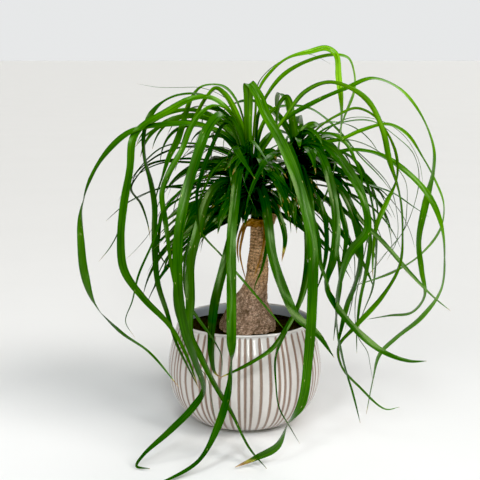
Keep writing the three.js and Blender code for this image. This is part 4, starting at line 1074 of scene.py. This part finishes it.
def short_leaves(leaves, shown, name, seed, count, around, rise, length, width, span=(0, 1), most_sway=SWAY):
    """Adds a group of leaves to the list, each turned on until it is clear of the other head's."""
    head = HEADS[name]
    other = HEADS["right" if name == "left" else "left"]
    draw = random_from(seed)
    stems = (straight(other.base, other.tip, STEM_STEPS), along_rows(BRANCH if name == "left" else TRUNK))
    others = [(leaf.points, leaf.width) for leaf in leaves if leaf.head != name]
    others += [(points, STEM_CLEAR) for points in stems]
    for k in range(count):
        up = mix(*span, (k + 0.5) / count)
        heading = math.radians(mix(*around, (k * GOLDEN_SHARE + TURN_SPREAD * draw()) % 1))
        pitch = math.radians(mix(*rise, up) + RISE_SPREAD * (draw() - 0.5))
        fall = math.radians(mix(*FALL, draw()))
        long = mix(*length, draw())
        sway = most_sway * (draw() - 0.5)
        wide = mix(*width, draw())
        rolls = [spread * (draw() - 0.5) for spread in ROLLS]
        root = head.at(mix(LEAF_BASE / (head.tip[2] - head.base[2]), 1, up))
        for i in range(TRIES):
            way = heading + i * TRY_TURN
            points = arching(root, way, pitch, fall, long, sway)
            out = misplaced(points, wide, head, shown)
            if out.any():
                share = max(LEAST_SHARE, (IN_BOUNDS_STEPS + int(out.argmax())) / FINE_STEPS)
                points = arching(root, way, pitch, fall, long * share, sway)
                out = misplaced(points, wide, head, shown)
            if not out.any() and not too_close(points, wide, others):
                roll = tuple(r + side * math.cos(way) for r, side in zip(rolls, SIDE_ROLLS))
                leaves.append(Leaf(name, wide, roll, points, up, dry_tip=SHORT_DRY_TIP))
                break


def width_at(share, width, taper):
    neck = mix(NECK, 1, np.minimum(share / NECK_SHARE, 1))
    return width * neck * np.maximum(TIP, np.minimum((1 - share) / taper, 1) ** TAPER_BEND)


def unit(vectors):
    return vectors / np.linalg.norm(vectors, axis=-1, keepdims=True)


def blade_frames(points, roll):
    """The ways along and across at each point, and the angle by which the blade is rolled from there."""
    along = unit(np.gradient(points, axis=0))
    reach = np.hypot(points[:, 0] - points[0, 0], points[:, 1] - points[0, 1])
    far = points[int(reach.argmax())] - points[0]
    across = unit(np.array((-far[1], far[0], 0.0)))
    level = []
    for way in along:
        across = unit(across - across @ way * way)
        level.append(across)
    places = np.linspace(0, len(roll) - 1, len(points))
    return along, np.array(level), np.radians(np.interp(places, np.arange(len(roll)), roll))


def blade(piece, leaf, draw, deepen=1):
    """One leaf as a thin closed body: channelled above, sharp at its edges."""
    along, level, angle = blade_frames(leaf.points, leaf.roll)
    run = np.concatenate(([0], np.cumsum(np.linalg.norm(np.diff(leaf.points, axis=0), axis=1))))
    share = run / run[-1]
    phase = 2 * math.pi * draw()
    wave = np.sin(run / WAVE_LENGTH * 2 * math.pi + phase) * smoothstep(run, *WAVE_RISE)
    angle = (angle + np.radians(WAVE_ROLL) * wave)[:, None]
    wide = level * np.cos(angle) + np.cross(along, level) * np.sin(angle)
    up = np.cross(along, wide)
    flare = 1 + BASE_FLARE * np.exp(-run / BASE_LENGTH)
    half = (width_at(share, leaf.width, leaf.taper) * flare / 2)[:, None]
    cup = np.interp(share, np.linspace(0, 1, len(CUPS)), CUPS)[:, None] * deepen
    across, under = np.array(ACROSS), np.array(UNDER)
    sink = cup * half * (1 - np.abs(across) ** CUP_BEND)
    thin = np.minimum(BLADE_THICKNESS, half * THICKEST) * under * (1 - EDGE_THINNING * np.abs(across))
    spread = leaf.points[:, None] + wide[:, None] * (half * across)[..., None]
    dry_length = mix(*leaf.dry_tip, draw() ** DRY_BEND)
    early, late = (dry_length * edge for edge in DRY_EDGE)
    piece.add(
        *skin(spread - up[:, None] * (sink + thin)[..., None]),
        side=(half * across).ravel(),
        run=np.repeat(run, len(ACROSS)),
        number=draw(),
        under=np.tile(under, len(run)),
        dry=np.repeat(smoothstep(run - run[-1], early, late), len(ACROSS)),
        tone=np.repeat(tones(leaf, draw()), len(ACROSS)),
    )


def gain(places, most, low, high):
    return most * smoothstep(places, low, high)


def tones(leaf, chance):
    """How bright a green the leaf has along it: youngest and with the most painted light at the top right,
    with painted shade to the left and near the stem.
    """
    x, y, z = leaf.points.T
    away = np.linalg.norm(leaf.points - HEADS[leaf.head].at(0.5), axis=1)
    # Painted light towards the right and the top, painted shade towards the left
    painted_light = gain(x, *RIGHT_PAINTED_LIGHT) + gain(z, *TOP_PAINTED_LIGHT) - gain(-x, *LEFT_PAINTED_SHADE)
    own = leaf.tone + TONE_SPREAD * (chance - 0.5) + YOUNG_TONE * (leaf.rise - 0.5)
    # Painted shade near the middle of the head's stem
    return np.clip(BASE_TONE + own + painted_light - NEAR_PAINTED_SHADE * (1 - smoothstep(away, *NEAR_REACH)), 0, 1)


def stem_core(piece, stem, sides=CORE_SIDES):
    """The stem that the leaf bases wrap."""
    angles = np.arange(sides) / sides * 2 * math.pi
    rings = []
    for share in np.linspace(0, 1, CORE_ROWS):
        radius = stem.radius * mix(1, HEAD_TAPER, share)
        rings.append([stem.at(share) + radius * np.array((math.cos(a), math.sin(a), 0)) for a in angles])
    piece.add(*skin(np.array(rings)), side=0, run=0, number=0, under=0, dry=0, tone=CORE_TONE)


def collar_scales():
    """Short torn bases of old leaves, in a ring that flares from the top of the stem."""
    draw = random_from(SCALE_SEED)
    up = np.array((0, 0, 1))
    share = np.linspace(0, 1, SCALE_POINTS)[:, None]
    scales = []
    for k in range(SCALES):
        heading = 2 * math.pi * (k * GOLDEN_SHARE + SCALE_TURN * draw())
        way = np.array((math.cos(heading), math.sin(heading), 0))
        root = HEADS["collar"].at(0) + way * SCALE_ROOTS + up * mix(-SCALE_SPREAD, SCALE_SPREAD, draw())
        length = mix(*SCALE_LENGTHS, draw())
        lean = mix(*SCALE_LEANS, draw())
        points = root + length * share * (up * (1 - lean * share) + way * lean * share)
        scales.append(Leaf("collar", mix(*SCALE_WIDTHS, draw()), (SCALE_ROLL * (draw() - 0.5),), points))
    return scales


def leaves():
    """Grows all leaves, then makes each head's pieces: the part's own leaves, finer ones and a stem."""
    grown = [followed(*leaf) for leaf in LONG_LEAVES]
    grown[0].dry_tip = FOLDED_DRY_TIP
    shown = shown_part(grown)
    dead = [followed(*leaf) for leaf in DEAD_LEAVES]
    grown += dead
    for group in SHORT_LEAVES:
        short_leaves(grown, shown, *group)
    fine_from = len(grown)
    grown += [followed(*leaf) for leaf in EXTRA_LEAVES]
    for group in FINE_LEAVES:
        short_leaves(grown, shown, *group)
    finish = leaf_finish()
    draw = random_from(BLADE_SEED)
    for name in ("left", "right"):
        solid = (name + "_leaves", grown[:fine_from], [name + "_head"])
        fine = (name + "_fine_leaves", grown[fine_from:], [])
        for title, several, replaced in (solid, fine):
            piece = Piece()
            for leaf in several:
                if leaf.head == name:
                    blade(piece, leaf, draw)
            piece.make(title, finish, "leaf", replaced, blades=True)
        core = Piece()
        stem_core(core, HEADS[name])
        core.make(name + "_stem", finish, "leaf")
    old = Piece()
    for leaf in [*dead, *collar_scales()]:
        blade(old, leaf, draw, DEAD_CUP)
    stem_core(old, HEADS["collar"], len(ACROSS))
    old.make("dry_leaves", dry_leaf_finish(), "dry_leaf", ["dead_leaves"], blades=True)


# Studio


def lamp(kind, name, way, power, color):
    """A light that shines from that way."""
    light = bpy.data.lights.new(name, kind)
    light.energy = power
    light.color = color
    made = placed(name, light)
    made.rotation_euler = (-Vector(way)).to_track_quat("-Z", "Y").to_euler()
    return made


def lights():
    for name, way, spread, power, color in SUNS:
        lamp("SUN", name, way, power, color).data.angle = math.radians(spread)
    for name, place, power in SOFTBOXES:
        softbox = lamp("AREA", name, Vector(place) - Vector(SOFTBOX_TARGET), power, SOFT_BLUE)
        softbox.location = place
        softbox.data.shape = "SQUARE"
        softbox.data.size = SOFTBOX_SIZE


def backdrop():
    """Soft light from all round, and one plain colour where the camera sees past the floor."""
    world = bpy.data.worlds.new("studio")
    world.use_nodes = True
    tree = world.node_tree
    lit = tree.nodes["Background"]
    lit.inputs["Color"].default_value = (*SKY, 1)
    lit.inputs["Strength"].default_value = SKY_STRENGTH
    plain = tree.nodes.new("ShaderNodeBackground")
    plain.inputs["Color"].default_value = (*FAR_FLOOR, 1)
    pick = tree.nodes.new("ShaderNodeMixShader")
    tree.links.new(tree.nodes.new("ShaderNodeLightPath").outputs["Is Camera Ray"], pick.inputs[0])
    tree.links.new(lit.outputs[0], pick.inputs[1])
    tree.links.new(plain.outputs[0], pick.inputs[2])
    tree.links.new(pick.outputs[0], tree.nodes["World Output"].inputs[0])
    bpy.context.scene.world = world


def floor():
    """A wide pale floor, which isn't part of the object."""
    finish = Finish("floor", Specular_IOR_Level=0.2)
    grain = finish.noise(finish.place(), 3)
    finish.show(Base_Color=finish.blend(grain, (0.8, 0.79, 0.78), (0.83, 0.82, 0.81)), Roughness=0.7)
    mesh = bpy.data.meshes.new("floor")
    square = [(x * FLOOR_HALF, y * FLOOR_HALF, 0) for x, y in ((-1, -1), (1, -1), (1, 1), (-1, 1))]
    mesh.from_pydata(square, [], [(0, 1, 2, 3)])
    mesh.materials.append(finish.material)
    placed("floor", mesh)


def studio():
    """The photo's camera, light and picture settings."""
    optics = bpy.data.cameras.new("camera")
    optics.sensor_width = SENSOR
    optics.lens = FOCAL_PIXELS / FRAME_PIXELS * SENSOR
    camera = placed("camera", optics)
    camera.location = Vector(CAMERA_PLACE) * MM
    camera.rotation_euler = (math.radians(90 - CAMERA_TILT), 0, 0)
    bpy.context.scene.camera = camera
    backdrop()
    lights()
    floor()
    view = bpy.context.scene.view_settings
    view.view_transform = "Standard"
    view.use_curve_mapping = True
    view.curve_mapping.black_level = BLACK_LEVEL


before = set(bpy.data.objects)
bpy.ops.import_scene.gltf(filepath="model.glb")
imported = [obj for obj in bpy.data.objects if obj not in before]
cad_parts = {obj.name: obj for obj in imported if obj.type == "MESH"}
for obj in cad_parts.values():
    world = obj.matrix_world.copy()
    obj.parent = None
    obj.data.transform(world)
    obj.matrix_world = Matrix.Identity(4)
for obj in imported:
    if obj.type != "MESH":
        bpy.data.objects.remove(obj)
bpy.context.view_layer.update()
studio()
pot()
soil()
trunk()
leaves()
